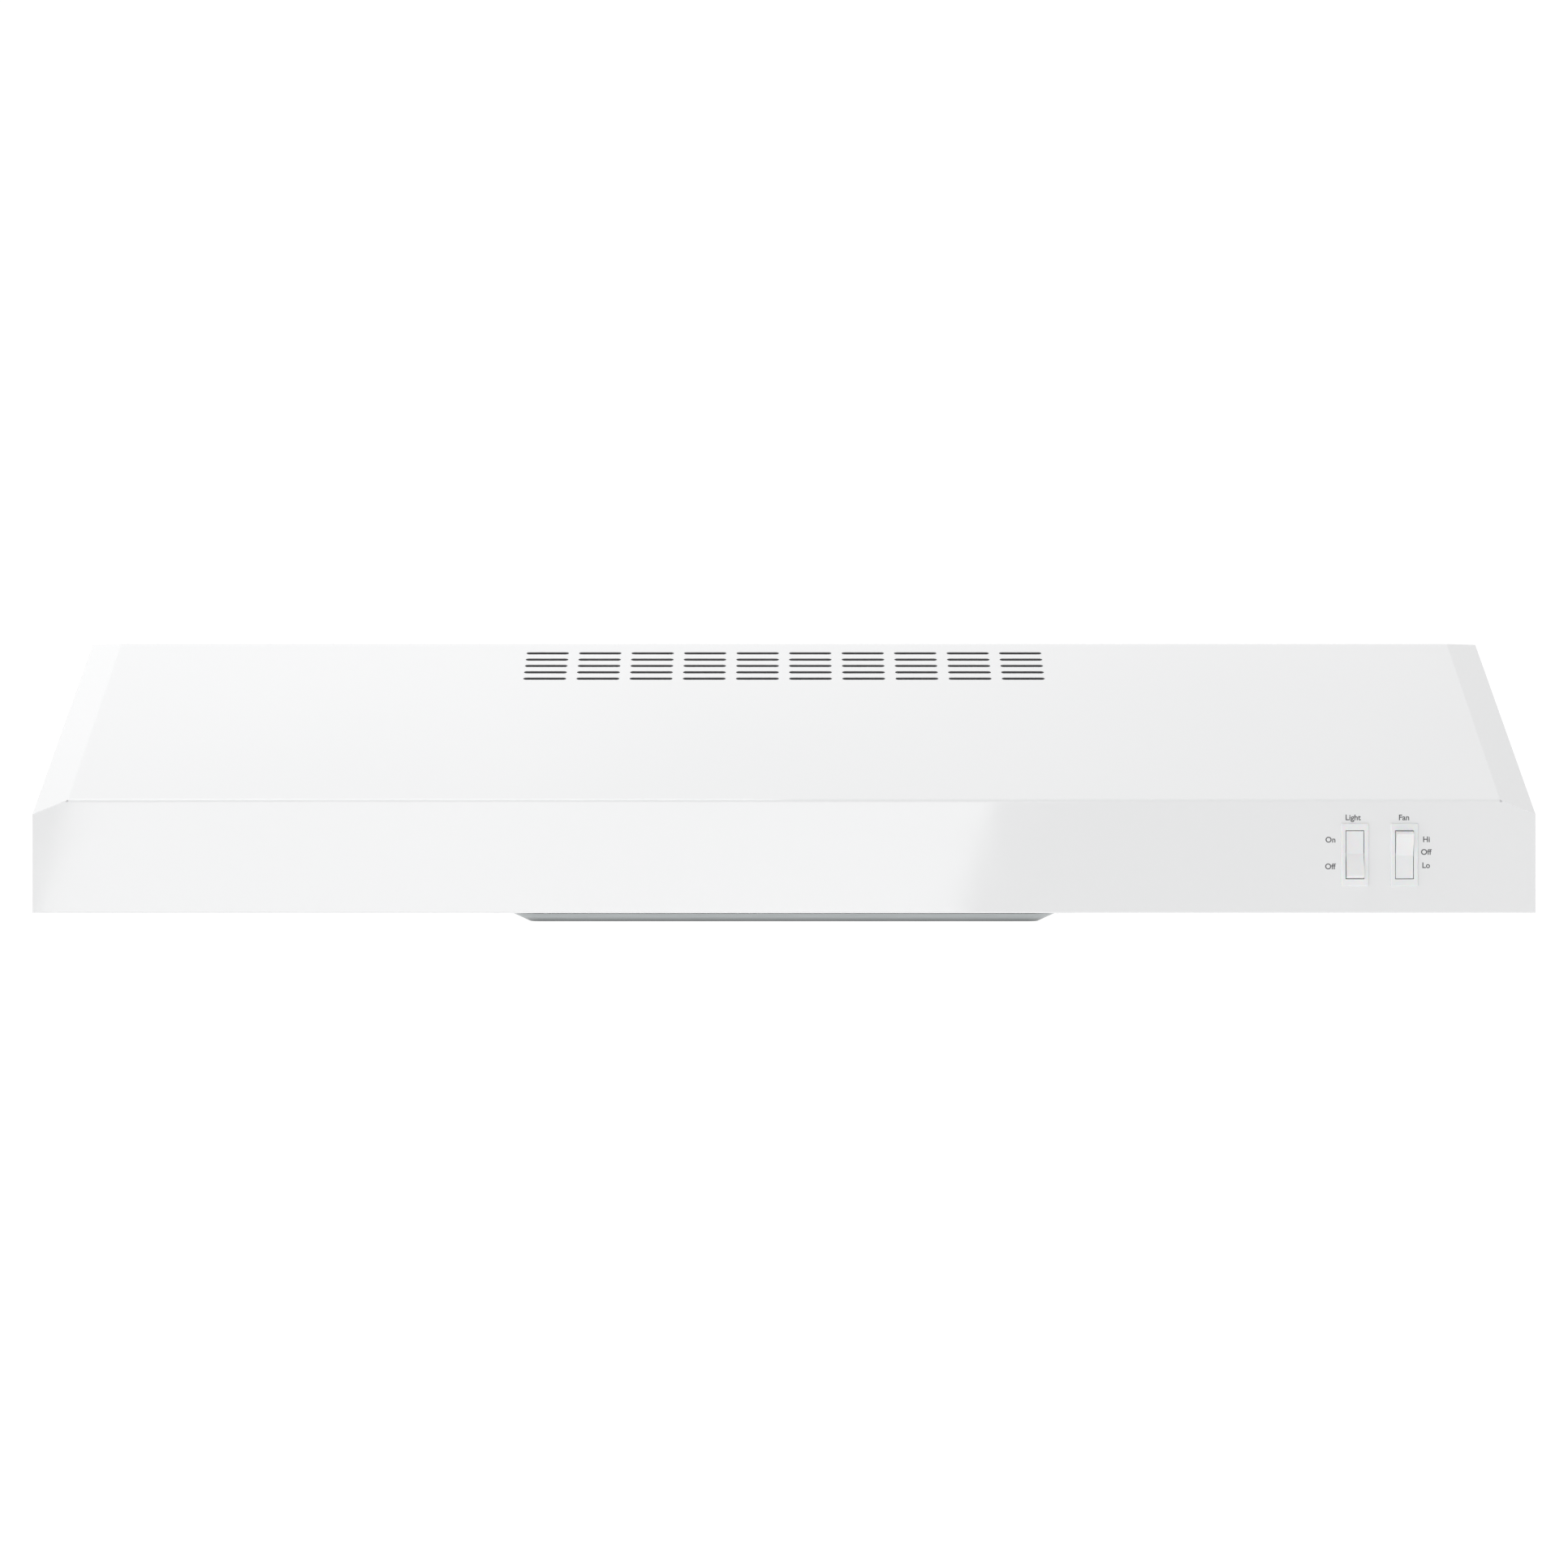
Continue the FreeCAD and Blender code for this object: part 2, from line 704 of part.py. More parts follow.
def cut_top(body):
    """Keyholes, duct knockouts, wiring entry and harness tie slots."""
    entries = []
    necks = []
    for sx in (-1, 1):
        for sy in (-1, 1):
            x = d.key_x * sx
            y = d.key_y * sy
            entries.append(("circle", x, y, d.key_r))
            necks.append(("slot", (x, y), (x, y - d.key_slot_run), d.key_slot_r))
    low = -d.sheet_t * 2
    pocket(body, "XY", entries, low, 1)
    pocket(body, "XY", necks, low, 1)
    pocket(body, "XY", [("circle", d.wiring_x, d.wiring_y, d.wiring_r)], low, 1)
    tie_slots = []
    for tie_x in (200.9, 219.5):
        tie_slots.append(rect(tie_x - 3, tie_x + 3, d.fold_y + 8, d.fold_y + 9.5))
    pocket(body, "XY", tie_slots, low, 1)
    pocket(body, "XY", duct_slits(), low, 1)
    first = pocket(body, "XY", [round_slit()], low, 1)
    turn_about(body, first)
    wedges = []
    for _, side in SIDES:
        outer_y = d.fold_y + d.bevel_drop / d.slope
        wedges.append([
            ((d.bevel_x + 2) * side, d.fold_y + 2),
            (d.half * side, outer_y),
            ((d.half + 1) * side, outer_y),
            ((d.half + 1) * side, outer_y + 1.6),
        ])
    pocket(body, "XY", wedges, low, 1)


def duct_slits():
    """Slits round the rectangular top knockout, broken by tie tabs."""
    half_w = d.duct_w / 2
    half_h = d.duct_h / 2
    tie = 4
    slits = []
    for side in (-1, 1):
        edge = d.top_ko_y + half_h * side
        slits.append(rect(-half_w + tie, -tie, edge - d.slit / 2, edge + d.slit / 2))
        slits.append(rect(as_dim(tie), half_w - tie, edge - d.slit / 2, edge + d.slit / 2))
        edge = half_w * side
        for low, high in ((-half_h + tie, -as_dim(tie)), (as_dim(tie), half_h - tie)):
            slits.append(rect(edge - d.slit / 2, edge + d.slit / 2, d.top_ko_y + low, d.top_ko_y + high))
    return slits


def round_slit():
    """One of the arc slits of the round knockout, drawn as a chain of short chords."""
    chords = 12
    spread = 40.0
    outer = []
    inner = []
    for i in range(chords + 1):
        angle = math.radians(-spread + 2 * spread * i / chords)
        outer.append(((d.round_ko_r + d.slit / 2) * math.cos(angle),
                      d.round_ko_y + (d.round_ko_r + d.slit / 2) * math.sin(angle)))
        inner.append(((d.round_ko_r - d.slit / 2) * math.cos(angle),
                      d.round_ko_y + (d.round_ko_r - d.slit / 2) * math.sin(angle)))
    return outer + list(reversed(inner))


def turn_about(body, feature):
    """Repeat the arc slit at quarter turns round the knockout centre."""
    line = body.newObject("PartDesign::Line", "round_knockout_axis")
    line.AttachmentSupport = (origin_item(body, PLANE["XY"]), [""])
    line.MapMode = "ObjectZ"
    bind(line, "AttachmentOffset.Base.y", d.round_ko_y)
    pattern = body.newObject("PartDesign::PolarPattern", "round_knockout_pattern")
    pattern.Originals = [feature]
    pattern.Axis = (line, [""])
    pattern.Angle = 360
    pattern.Occurrences = 4
    body.Tip = pattern
    doc.recompute()


def cut_lip(body):
    """Switch openings and the small relief holes at the bevel corners."""
    openings = []
    for x in (d.light_x, d.fan_x):
        half_w = d.housing_w / 2 + SWITCH_CLEAR
        half_h = d.housing_h / 2 + SWITCH_CLEAR
        openings.append(rect(x - half_w, x + half_w, d.switch_z - half_h, d.switch_z + half_h))
    pocket(body, "XZ", openings, d.front_y - 1, d.front_y + d.sheet_t * 2)
    dots = []
    for _, side in SIDES:
        dots.append(("circle", (d.bevel_x + 0.4) * side, d.crease_z - 0.6, 0.6))
    pocket(body, "XZ", dots, d.front_y - 1, d.front_y + d.sheet_t * 2.5)


def make_side_panel(name, side):
    """Pressed side: flat face with a flange turned in all round."""
    body = new_body("side_panel_" + name)
    low, high = mirrored(side, d.half - d.flange_width, d.half)
    front = d.front_y + d.sheet_t
    outline = [
        (front, d.base_z),
        (front, -d.sheet_t),
        (d.inner_y, -d.sheet_t),
        (d.inner_y, d.base_z),
    ]
    pad(body, "YZ", [outline], low, high)
    tilt = d.bevel_drop / d.bevel_width
    normal = root(d.bevel_drop * d.bevel_drop
                  + (d.slope * d.bevel_width) * (d.slope * d.bevel_width)
                  + d.bevel_width * d.bevel_width)
    edge_z = d.corner_z - d.sheet_t * normal / d.bevel_width
    corner = [
        ((d.half + 10) * side, edge_z - tilt * 10),
        ((d.half - 30) * side, edge_z + tilt * 30),
        ((d.half - 30) * side, edge_z + 160),
        ((d.half + 10) * side, edge_z + 160),
    ]
    slanted_pocket(body, "XZ", [corner], -d.front_y, (0, 1, d.slope), d.depth * 1.2)

    def outer_edge(p, edge):
        return near(abs(p.x), d.half) and near(edge.BoundBox.XMin, edge.BoundBox.XMax)

    round_edges(body, outer_edge, 1.0)
    shell(body, lambda box: near(box.XMin, box.XMax) and near(abs(box.XMin), d.half - d.flange_width),
          d.sheet_t)
    holes = []
    for z in SCREW_ROWS:
        holes.append(("circle", (d.half - SIDE_SCREW_IN) * side, z, d.screw_r))
    pocket(body, "XZ", holes, d.inner_y - d.sheet_t * 2, d.inner_y + 1)
    return keep(body)


def make_back_panel():
    """Rear sheet with duct opening, wiring knockout and a hem at the bottom."""
    body = new_body("back_panel")
    outline = rect(-d.half, d.half, d.base_z, -d.sheet_t)
    pad(body, "XZ", [outline], d.inner_y, d.wall_y)
    hems = []
    for _, side in SIDES:
        low, high = mirrored(side, d.box_half + 2, d.half - d.flange_width - 1)
        hems.append(rect(low, high, d.inner_y - d.flange_width, d.inner_y + d.sheet_t / 2))
    pad(body, "XY", hems, d.base_z, d.base_z + d.sheet_t)
    half_w = d.duct_w / 2 - d.sheet_t
    half_h = d.duct_h / 2 - d.sheet_t
    duct = rect(-half_w, half_w, d.duct_z - half_h, d.duct_z + half_h)
    pocket(body, "XZ", [duct], d.inner_y - 1, d.wall_y + 1)
    holes = []
    for _, side in SIDES:
        for z in SCREW_ROWS:
            holes.append(("circle", (d.half - SIDE_SCREW_IN) * side, z, d.screw_r))
    for x, z in collar_screw_spots():
        holes.append(("circle", x, z, d.screw_r))
    pocket(body, "XZ", holes, d.inner_y - 1, d.wall_y + 1)
    slits = []
    for side in (-1, 1):
        edge = d.wiring_r * side
        slits.append(rect(d.wiring_x - 7, d.wiring_x + 7,
                          d.wiring_z + edge - d.slit / 2, d.wiring_z + edge + d.slit / 2))
        slits.append(rect(d.wiring_x + edge - d.slit / 2, d.wiring_x + edge + d.slit / 2,
                          d.wiring_z - 7, d.wiring_z + 7))
    pocket(body, "XZ", slits, d.inner_y - 1, d.wall_y + 1)
    return keep(body)


def collar_screw_spots():
    inset = d.collar_flange / 2
    edge_x = d.duct_w / 2 + inset
    edge_z = d.duct_h / 2 + inset
    spots = []
    for side in (-1, 1):
        spots.append((edge_x * side, d.duct_z + 30))
        spots.append((edge_x * side, d.duct_z - 30))
        spots.append((as_dim(70 * side), d.duct_z + edge_z))
        spots.append((as_dim(70 * side), d.duct_z - edge_z))
    return spots



# ---------------------------------------------------------------- fan box

DECK_SCREW_Y = (-110.0, 22.0, 140.0)
FOOT_SPOTS = ((-137.0, -12.0), (-137.0, 12.0), (137.0, -12.0), (137.0, 12.0))
LAMP_SCREW_Y = (-141.0, -117.0)
LAMP_SCREW_X = 93.0
BRACKET_SHEET = 1.2
SOCKET_BACK = 100.0
SPACE = 0.2
SEAM = 1.0


def slope_under(y, sheets):
    """Height of the underside of the slope after that many sheet thicknesses."""
    return d.crease_z + d.slope * (y - d.front_y) - d.sheet_drop * sheets


def baffle_line():
    """Front side of the front baffle, from its bottom flange up to the slope."""
    top_y = d.baffle_top_y
    toe_y = top_y - 11
    return [
        (d.baffle_y + d.box_flange, d.box_bottom),
        (d.baffle_y, d.box_bottom),
        (d.baffle_y, d.baffle_bend_z),
        (top_y, slope_under(top_y, 2)),
        (toe_y, slope_under(toe_y, 2)),
    ]


def plan_strips():
    """Work out every bent-strip outline before any solid depends on the sheet."""
    plan_strip("baffle", baffle_line(), -d.sheet_t)
    plan_strip("rail", [
        (d.inner_y, d.box_bottom + 27),
        (d.inner_y, d.box_bottom),
        (d.inner_y - d.box_flange - d.sheet_t, d.box_bottom),
    ], -d.sheet_t)
    rear = d.fan_y - d.orifice_r - 3.2
    plan_strip("reflector", [
        (d.baffle_y + 3, d.deck_z),
        (rear, d.deck_z),
        (rear, d.box_bottom + 1.2),
    ], -d.sheet_t)
    top = d.deck_z - d.sheet_t
    plan_strip("lamp_bracket", [
        (SOCKET_BACK - 15, top),
        (SOCKET_BACK + BRACKET_SHEET, top),
        (SOCKET_BACK + BRACKET_SHEET, d.lamp_z - 18),
    ], as_dim(-BRACKET_SHEET))
    foot_z = d.deck_z + d.sheet_t
    foot_x = d.bracket_half + 12
    plan_strip("motor_bracket", [
        (-foot_x, foot_z),
        (-d.bracket_half, foot_z),
        (-d.bracket_half, d.bracket_low),
        (d.bracket_half, d.bracket_low),
        (d.bracket_half, foot_z),
        (foot_x, foot_z),
    ], d.bracket_t)
    floor = d.tray_low + d.tray_t
    edge = d.baffle_y + d.box_flange + 0.8
    plan_strip("clip", [
        (edge + 9, floor),
        (edge, floor),
        (edge, floor + 6),
        (edge + 1.6, floor + 8.5),
    ], as_dim(-0.5))


def make_baffle():
    body = new_body("fan_box_front_baffle")
    half = d.box_in - SPACE
    pad(body, "YZ", [outlines["baffle"]], -half, half)
    upright = [
        (d.baffle_y, d.box_bottom),
        (d.baffle_y, d.baffle_bend_z),
        (d.baffle_top_y, slope_under(d.baffle_top_y, 2)),
        (d.baffle_2_u + (d.baffle_top_y - d.baffle_y), d.baffle_3_v),
        (d.baffle_2_u, d.baffle_2_v),
        (d.baffle_1_u, d.box_bottom),
    ]
    for _, side in SIDES:
        low, high = mirrored(side, half, d.box_half)
        pad(body, "YZ", [upright], low, high)
    return keep(body)


def wall_outline():
    """Fan box wall seen from the side, inside the baffle and under the canopy."""
    fold_in = d.front_y + (d.sheet_drop - d.sheet_t - d.crease_z) / d.slope
    ease = 1.5
    return [
        (d.baffle_1_u, d.box_bottom),
        (d.baffle_2_u + SEAM, d.baffle_2_v),
        (d.baffle_3_u + SEAM, d.baffle_3_v),
        (fold_in - ease, slope_under(fold_in - ease, 1)),
        (fold_in + ease, -d.sheet_t),
        (d.inner_y, -d.sheet_t),
        (d.inner_y, d.box_bottom),
    ]


def make_fan_box_wall(name, side):
    body = new_body("fan_box_wall_" + name)
    low, high = mirrored(side, d.box_in, d.box_half)
    pad(body, "YZ", [wall_outline()], low, high)
    shell(body, lambda box: near(box.XMin, box.XMax) and near(abs(box.XMin), d.box_in), d.sheet_t)
    holes = []
    for y in DECK_SCREW_Y:
        holes.append(("circle", y, deck_screw_z(), d.screw_r))
    if side > 0:
        holes.append(("circle", d.bush_y, d.bush_z, 6.5))
        holes.append(("circle", d.lamp_y, d.lamp_z, 5.5))
    low, high = mirrored(side, d.box_half - 2, d.box_half + 1)
    pocket(body, "YZ", holes, low, high)
    return keep(body)


def deck_screw_z():
    return d.deck_z + d.sheet_t + d.deck_flange / 2


def make_rail():
    """Rear flange of the intake, with the ears the tray hinges on."""
    body = new_body("filter_rail_rear")
    half = d.box_in - SPACE
    pad(body, "YZ", [outlines["rail"]], -half, half)
    ear_r = 3.2
    for _, side in SIDES:
        low, high = mirrored(side, d.hinge_ear_x, d.hinge_ear_x + d.hinge_ear_w)
        pad(body, "YZ", [rect(d.hinge_y - ear_r, d.hinge_y + ear_r, d.hinge_z, d.box_bottom + 0.4)],
            low, high)
        pad(body, "YZ", [("circle", d.hinge_y, d.hinge_z, ear_r)], low, high)
        pocket(body, "YZ", [("circle", d.hinge_y, d.hinge_z, d.hinge_rod_r + d.fit)],
               low - 1, high + 1)
    return keep(body)


def make_deck():
    """Plate across the fan box with the fan orifice and upturned edges."""
    body = new_body("fan_deck")
    half = d.box_half - d.sheet_t
    front = d.baffle_y + d.sheet_t * 2 + SEAM
    rear = d.inner_y - d.sheet_t
    top = d.deck_z + d.sheet_t
    pad(body, "XY", [rect(-half, half, front, rear)], d.deck_z, top)
    edge_top = top + d.deck_flange
    sides = [
        rect(-half, -half + d.sheet_t, front, rear),
        rect(half - d.sheet_t, half, front, rear),
    ]
    pad(body, "XY", sides, d.deck_z + d.sheet_t / 2, edge_top)
    front_half = d.box_in - SPACE
    pad(body, "XY", [rect(-front_half, front_half, front, front + d.sheet_t)],
        d.deck_z + d.sheet_t / 2, edge_top)
    pad(body, "XY", [("circle", 0, d.fan_y, d.orifice_r)], d.ring_low, top)
    pocket(body, "XY", [("circle", 0, d.fan_y, d.orifice_r - d.ring_t)], d.ring_low - 1, top + 1)

    def ring_mouth(p, edge):
        at_ring = near(edge.BoundBox.ZMin, d.ring_low) or near(edge.BoundBox.ZMin, top)
        inner = near(edge.BoundBox.XLength, (d.orifice_r - d.ring_t) * 2, 0.1)
        return at_ring and inner and near(edge.BoundBox.ZMin, edge.BoundBox.ZMax)

    round_edges(body, ring_mouth, 0.7)
    holes = []
    for x, y in FOOT_SPOTS:
        holes.append(("circle", x, d.fan_y + y, d.screw_r))
    for y in LAMP_SCREW_Y:
        holes.append(("circle", LAMP_SCREW_X, y, d.screw_r))
    pocket(body, "XY", holes, d.deck_z - 1, top + 1)
    side_holes = []
    for y in DECK_SCREW_Y:
        side_holes.append(("circle", y, deck_screw_z(), d.screw_r))
    for _, side in SIDES:
        low, high = mirrored(side, half - 2, half + 1)
        pocket(body, "YZ", side_holes, low, high)
    return keep(body)


def make_deck_screws():
    items = []
    count = 0
    for _, side in SIDES:
        for y in DECK_SCREW_Y:
            count += 1
            items.append(screw(f"deck_screw_{count}", "X", -side, d.box_half * side, y,
                               deck_screw_z(), 2.6))
    for x, y in FOOT_SPOTS:
        count += 1
        items.append(screw(f"deck_screw_{count}", "Z", -1, x, d.fan_y + y,
                           d.deck_z + d.sheet_t + d.bracket_t, 3.0))
    return keep(group("deck_screws", items))


# ---------------------------------------------------------------- lamp

def make_reflector():
    """Bright sheet over the bulb and down between lamp and fan intake."""
    body = new_body("lamp_reflector")
    half = d.box_half - d.sheet_t - SPACE
    pad(body, "YZ", [outlines["reflector"]], -half, half)
    low = d.deck_z - d.sheet_t - 1
    holes = [("circle", LAMP_SCREW_X, y, d.screw_r) for y in LAMP_SCREW_Y]
    pocket(body, "XY", holes, low, d.deck_z + 1)
    return keep(body)


def make_socket_bracket():
    body = new_body("lamp_socket_bracket")
    top = d.deck_z - d.sheet_t
    pad(body, "XZ", [outlines["lamp_bracket"]], d.lamp_y - 18, d.lamp_y + 18)
    holes = [("circle", LAMP_SCREW_X, y, d.screw_r) for y in LAMP_SCREW_Y]
    pocket(body, "XY", holes, top - 3, top + 1)
    pocket(body, "YZ", [("circle", d.lamp_y, d.lamp_z, 6)], SOCKET_BACK - 1, SOCKET_BACK + 3)
    return keep(body)


def make_socket():
    """Porcelain lamp holder: cup, shoulder and the boss through the bracket."""
    body = new_body("lamp_socket")
    spot = (d.lamp_y, d.lamp_z)
    pad(body, "YZ", [("circle", *spot, 18)], 52, 80)
    pad(body, "YZ", [("circle", *spot, 14.5)], 79, SOCKET_BACK)
    pad(body, "YZ", [("circle", *spot, 6)], SOCKET_BACK - 1, SOCKET_BACK + 3)
    pocket(body, "YZ", [("circle", *spot, d.base_r)], 51, 72)

    def rim(p, edge):
        return near(edge.BoundBox.XMin, edge.BoundBox.XMax) and (
            (near(p.x, 52) and edge.BoundBox.YLength > 30) or (near(p.x, 80) and edge.BoundBox.YLength > 30))

    round_edges(body, rim, 1.2)
    return keep(body)


def make_bulb():
    base_body = rod("bulb_thread", "X", 46, d.lamp_y, d.lamp_z, d.base_r, 22)
    shoulder = cone("bulb_shoulder", "X", 68, d.lamp_y, d.lamp_z, d.base_r, 5, 2.5)
    contact = rod("bulb_contact", "X", 70, d.lamp_y, d.lamp_z, 3.5, 2)
    keep(fuse("lamp_bulb_base", [base_body, shoulder, contact]))
    make_bulb_glass()


def make_bulb_glass():
    """Pear-shaped envelope: a ball that runs tangent into a straight neck."""
    body = new_body("lamp_bulb_glass")
    place(body, 0, d.lamp_y, d.lamp_z)
    sketch = new_sketch(body, "XZ", [])
    centre_x = -5.0
    neck = (46.0, 12.6)
    reach = math.hypot(neck[0] - centre_x, neck[1])
    start = math.atan2(neck[1], neck[0] - centre_x) + math.acos(d.bulb_r.value / reach)
    circle = Part.Circle(point(centre_x, 0), FreeCAD.Vector(0, 0, 1), d.bulb_r.value)
    touch = point(centre_x, 0) + FreeCAD.Vector(math.cos(start), math.sin(start), 0) * d.bulb_r.value
    tip = point(centre_x - d.bulb_r, 0)
    sketch.addGeometry(Part.ArcOfCircle(circle, start, math.pi))
    sketch.addGeometry(Part.LineSegment(touch, point(*neck)))
    sketch.addGeometry(Part.LineSegment(point(*neck), point(neck[0], 0)))
    sketch.addGeometry(Part.LineSegment(point(neck[0], 0), tip))
    sketch.addConstraint(Sketcher.Constraint("Tangent", 1, 1, 0, 1))
    sketch.addConstraint(Sketcher.Constraint("Coincident", 1, 2, 2, 1))
    sketch.addConstraint(Sketcher.Constraint("Coincident", 2, 2, 3, 1))
    sketch.addConstraint(Sketcher.Constraint("Coincident", 3, 2, 0, 2))
    sketch.addConstraint(Sketcher.Constraint("PointOnObject", 0, 2, -1))
    pin(sketch, 0, 3, centre_x, 0)
    pin(sketch, 1, 2, *neck)
    pin(sketch, 2, 2, neck[0], 0)
    set_radius(sketch, 0, d.bulb_r)
    turned = body.newObject("PartDesign::Revolution", "bulb_turned")
    turned.Profile = sketch
    turned.ReferenceAxis = (origin_item(body, "X_Axis"), [""])
    turned.Angle = 360
    doc.recompute()
    return keep(body)


def make_lamp_screws():
    items = []
    for i, y in enumerate(LAMP_SCREW_Y):
        items.append(screw(f"lamp_screw_{i}", "Z", 1, LAMP_SCREW_X, y,
                           d.deck_z - d.sheet_t - BRACKET_SHEET, 3.8))
    return keep(group("lamp_screws", items))


# ---------------------------------------------------------------- motor

MOUNT_SPOTS = ((-17.0, -14.0), (-17.0, 14.0), (17.0, -14.0), (17.0, 14.0))
BOLT_X = 29.2
BAR_NEAR = 44.0
BAR_FAR = 60.0
WINDOW_HALF = 18.0


def make_motor_bracket():
    body = new_body("motor_bracket")
    foot_z = d.deck_z + d.sheet_t
    pad(body, "XZ", [outlines["motor_bracket"]], d.fan_y - d.bracket_w / 2, d.fan_y + d.bracket_w / 2)
    holes = [("circle", 0, d.fan_y, 10)]
    for x, y in MOUNT_SPOTS:
        holes.append(("circle", x, d.fan_y + y, d.screw_r))
    pocket(body, "XY", holes, d.bracket_low - 1, d.bracket_low + 3)
    feet = [("circle", x, d.fan_y + y, d.screw_r) for x, y in FOOT_SPOTS]
    pocket(body, "XY", feet, foot_z - 1, foot_z + 3)
    return keep(body)


def make_grommets():
    items = []
    low = d.bracket_low + d.bracket_t
    for i, (x, y) in enumerate(MOUNT_SPOTS):
        body = rod(f"grommet_{i}", "Z", x, d.fan_y + y, low, 5, d.bell_low - low)
        hole = rod(f"grommet_hole_{i}", "Z", x, d.fan_y + y, low - 1, d.screw_r, 8)
        items.append(cut(f"grommet_ring_{i}", body, [hole]))
    return keep(group("motor_grommets", items))


def make_end_bell(name, plate_z, open_z, up):
    """Cup that carries one bearing; up is +1 for the cup that opens downwards."""
    body = new_body("motor_end_bell_" + name)
    low, high = (open_z, plate_z) if up > 0 else (plate_z, open_z)
    pad(body, "XY", [("circle", 0, d.fan_y, d.bell_r)], low, high)
    ear_edge = open_z + d.bell_t * up
    ear_low, ear_high = (open_z, ear_edge) if up > 0 else (ear_edge, open_z)
    pad(body, "XY", [rect(-d.core_half, d.core_half, d.fan_y - 6, d.fan_y + 6)], ear_low, ear_high)
    inner = plate_z - d.bell_t * up
    cup_low, cup_high = (open_z - 1, inner) if up > 0 else (inner, open_z + 1)
    pocket(body, "XY", [("circle", 0, d.fan_y, d.bell_r - d.bell_t)], cup_low, cup_high)
    pocket(body, "XY", [("circle", 0, d.fan_y, d.bearing_r)], low - 1, high + 1)
    bolts = [("circle", BOLT_X * s, d.fan_y, d.screw_r) for s in (-1, 1)]
    pocket(body, "XY", bolts, low - 1, high + 1)
    if up < 0:
        mounts = [("circle", x, d.fan_y + y, d.screw_r) for x, y in MOUNT_SPOTS]
        pocket(body, "XY", mounts, low - 1, high + 1)
    return keep(body)


def make_bearing(name, low, high, collar_low):
    """Sintered sleeve with a collar that sits inside the end bell."""
    body = new_body("motor_bearing_" + name)
    pad(body, "XY", [("circle", 0, d.fan_y, d.bearing_r)], low, high)
    pad(body, "XY", [("circle", 0, d.fan_y, d.bearing_r + 2)], collar_low, collar_low + 1.5)
    pocket(body, "XY", [("circle", 0, d.fan_y, d.shaft_r + d.bearing_gap)], low - 1, high + 1)
    return keep(body)


def make_core():
    """Lamination stack: rotor bore in front, coil bar at the back."""
    body = new_body("motor_core")
    front = d.fan_y - d.core_front
    outline = rect(-d.core_half, d.core_half, front, d.fan_y + BAR_FAR)
    pad(body, "XY", [outline], d.core_low, d.core_high)
    pocket(body, "XY", [("circle", 0, d.fan_y, d.core_bore_r)], d.core_low - 1, d.core_high + 1)
    window = rect(-as_dim(WINDOW_HALF), as_dim(WINDOW_HALF), d.fan_y + BAR_NEAR - 14, d.fan_y + BAR_NEAR)
    pocket(body, "XY", [window], d.core_low - 1, d.core_high + 1)
    bolts = [("circle", BOLT_X * s, d.fan_y, d.screw_r) for s in (-1, 1)]
    pocket(body, "XY", bolts, d.core_low - 1, d.core_high + 1)
    return keep(body)


def make_coil():
    body = new_body("motor_coil")
    outline = rect(as_dim(-17), as_dim(17), d.fan_y + BAR_NEAR - 13, d.fan_y + BAR_FAR + 13)
    pad(body, "XY", [outline], d.core_low - 9, d.core_high + 9)

    def outer_edge(p, edge):
        return near(edge.BoundBox.XLength, 34, 0.1)

    round_edges(body, outer_edge, 4)
    bar = rect(d.fan_y + BAR_NEAR, d.fan_y + BAR_FAR, d.core_low, d.core_high)
    pocket(body, "YZ", [bar], -20, 20)
    return keep(body)


def make_rotor():
    low = d.core_low + 0.5
    length = d.core_high - d.core_low - 1
    stack = rod("rotor_stack", "Z", 0, d.fan_y, low, d.rotor_r, length)
    hole = rod("rotor_hole", "Z", 0, d.fan_y, low - 1, d.shaft_r, length + 2)
    keep(cut("motor_rotor", stack, [hole]))
    keep(rod("motor_shaft", "Z", 0, d.fan_y, d.shaft_low, d.shaft_r, d.shaft_high - d.shaft_low))


def ring(label, z, inner, outer, thick):
    disc = rod(label + "_disc", "Z", 0, d.fan_y, z, outer, thick)
    hole = rod(label + "_hole", "Z", 0, d.fan_y, as_dim(z) - 1, inner, as_dim(thick) + 2)
    return cut(label, disc, [hole])


def make_shaft_rings():
    washers = [
        ring("washer_low", d.core_low - 1.5, d.shaft_r, 6, 1),
        ring("washer_high", d.core_high + 0.4, d.shaft_r, 6, 1),
    ]
    keep(group("motor_washers", washers))
    keep(ring("fan_hub_clip", d.hub_low - 1.6, d.shaft_r, 7.5, 1.6))


def make_motor_screws():
    items = []
    for i, (x, y) in enumerate(MOUNT_SPOTS):
        items.append(screw(f"mount_screw_{i}", "Z", 1, x, d.fan_y + y, d.bracket_low, 7.7))
    for i, side in enumerate((-1, 1)):
        items.append(screw(f"through_bolt_{i}", "Z", -1, BOLT_X * side, d.fan_y,
                           d.core_high + d.bell_t, 31))
    return keep(group("motor_screws", items))


# ---------------------------------------------------------------- fan

BLADES = 5
BLADE_STATIONS = ((26.5, 42.0, 33.0, 0.0), (68.0, 62.0, 27.0, 5.0), (113.0, 74.0, 17.0, 14.0))


def blade_section(chord, pitch, sweep):
    """Thin rectangle leaning at the pitch angle, centred on the blade height."""
    c = math.cos(math.radians(pitch))
    s = math.sin(math.radians(pitch))
    half_t = d.blade_t / 2
    corners = []
    for along, across in ((-1, -1), (1, -1), (1, 1), (-1, 1)):
        u = sweep + along * chord / 2 * c - across * half_t * s
        v = d.blade_z + along * chord / 2 * s + across * half_t * c
        corners.append((u, v))
    return corners


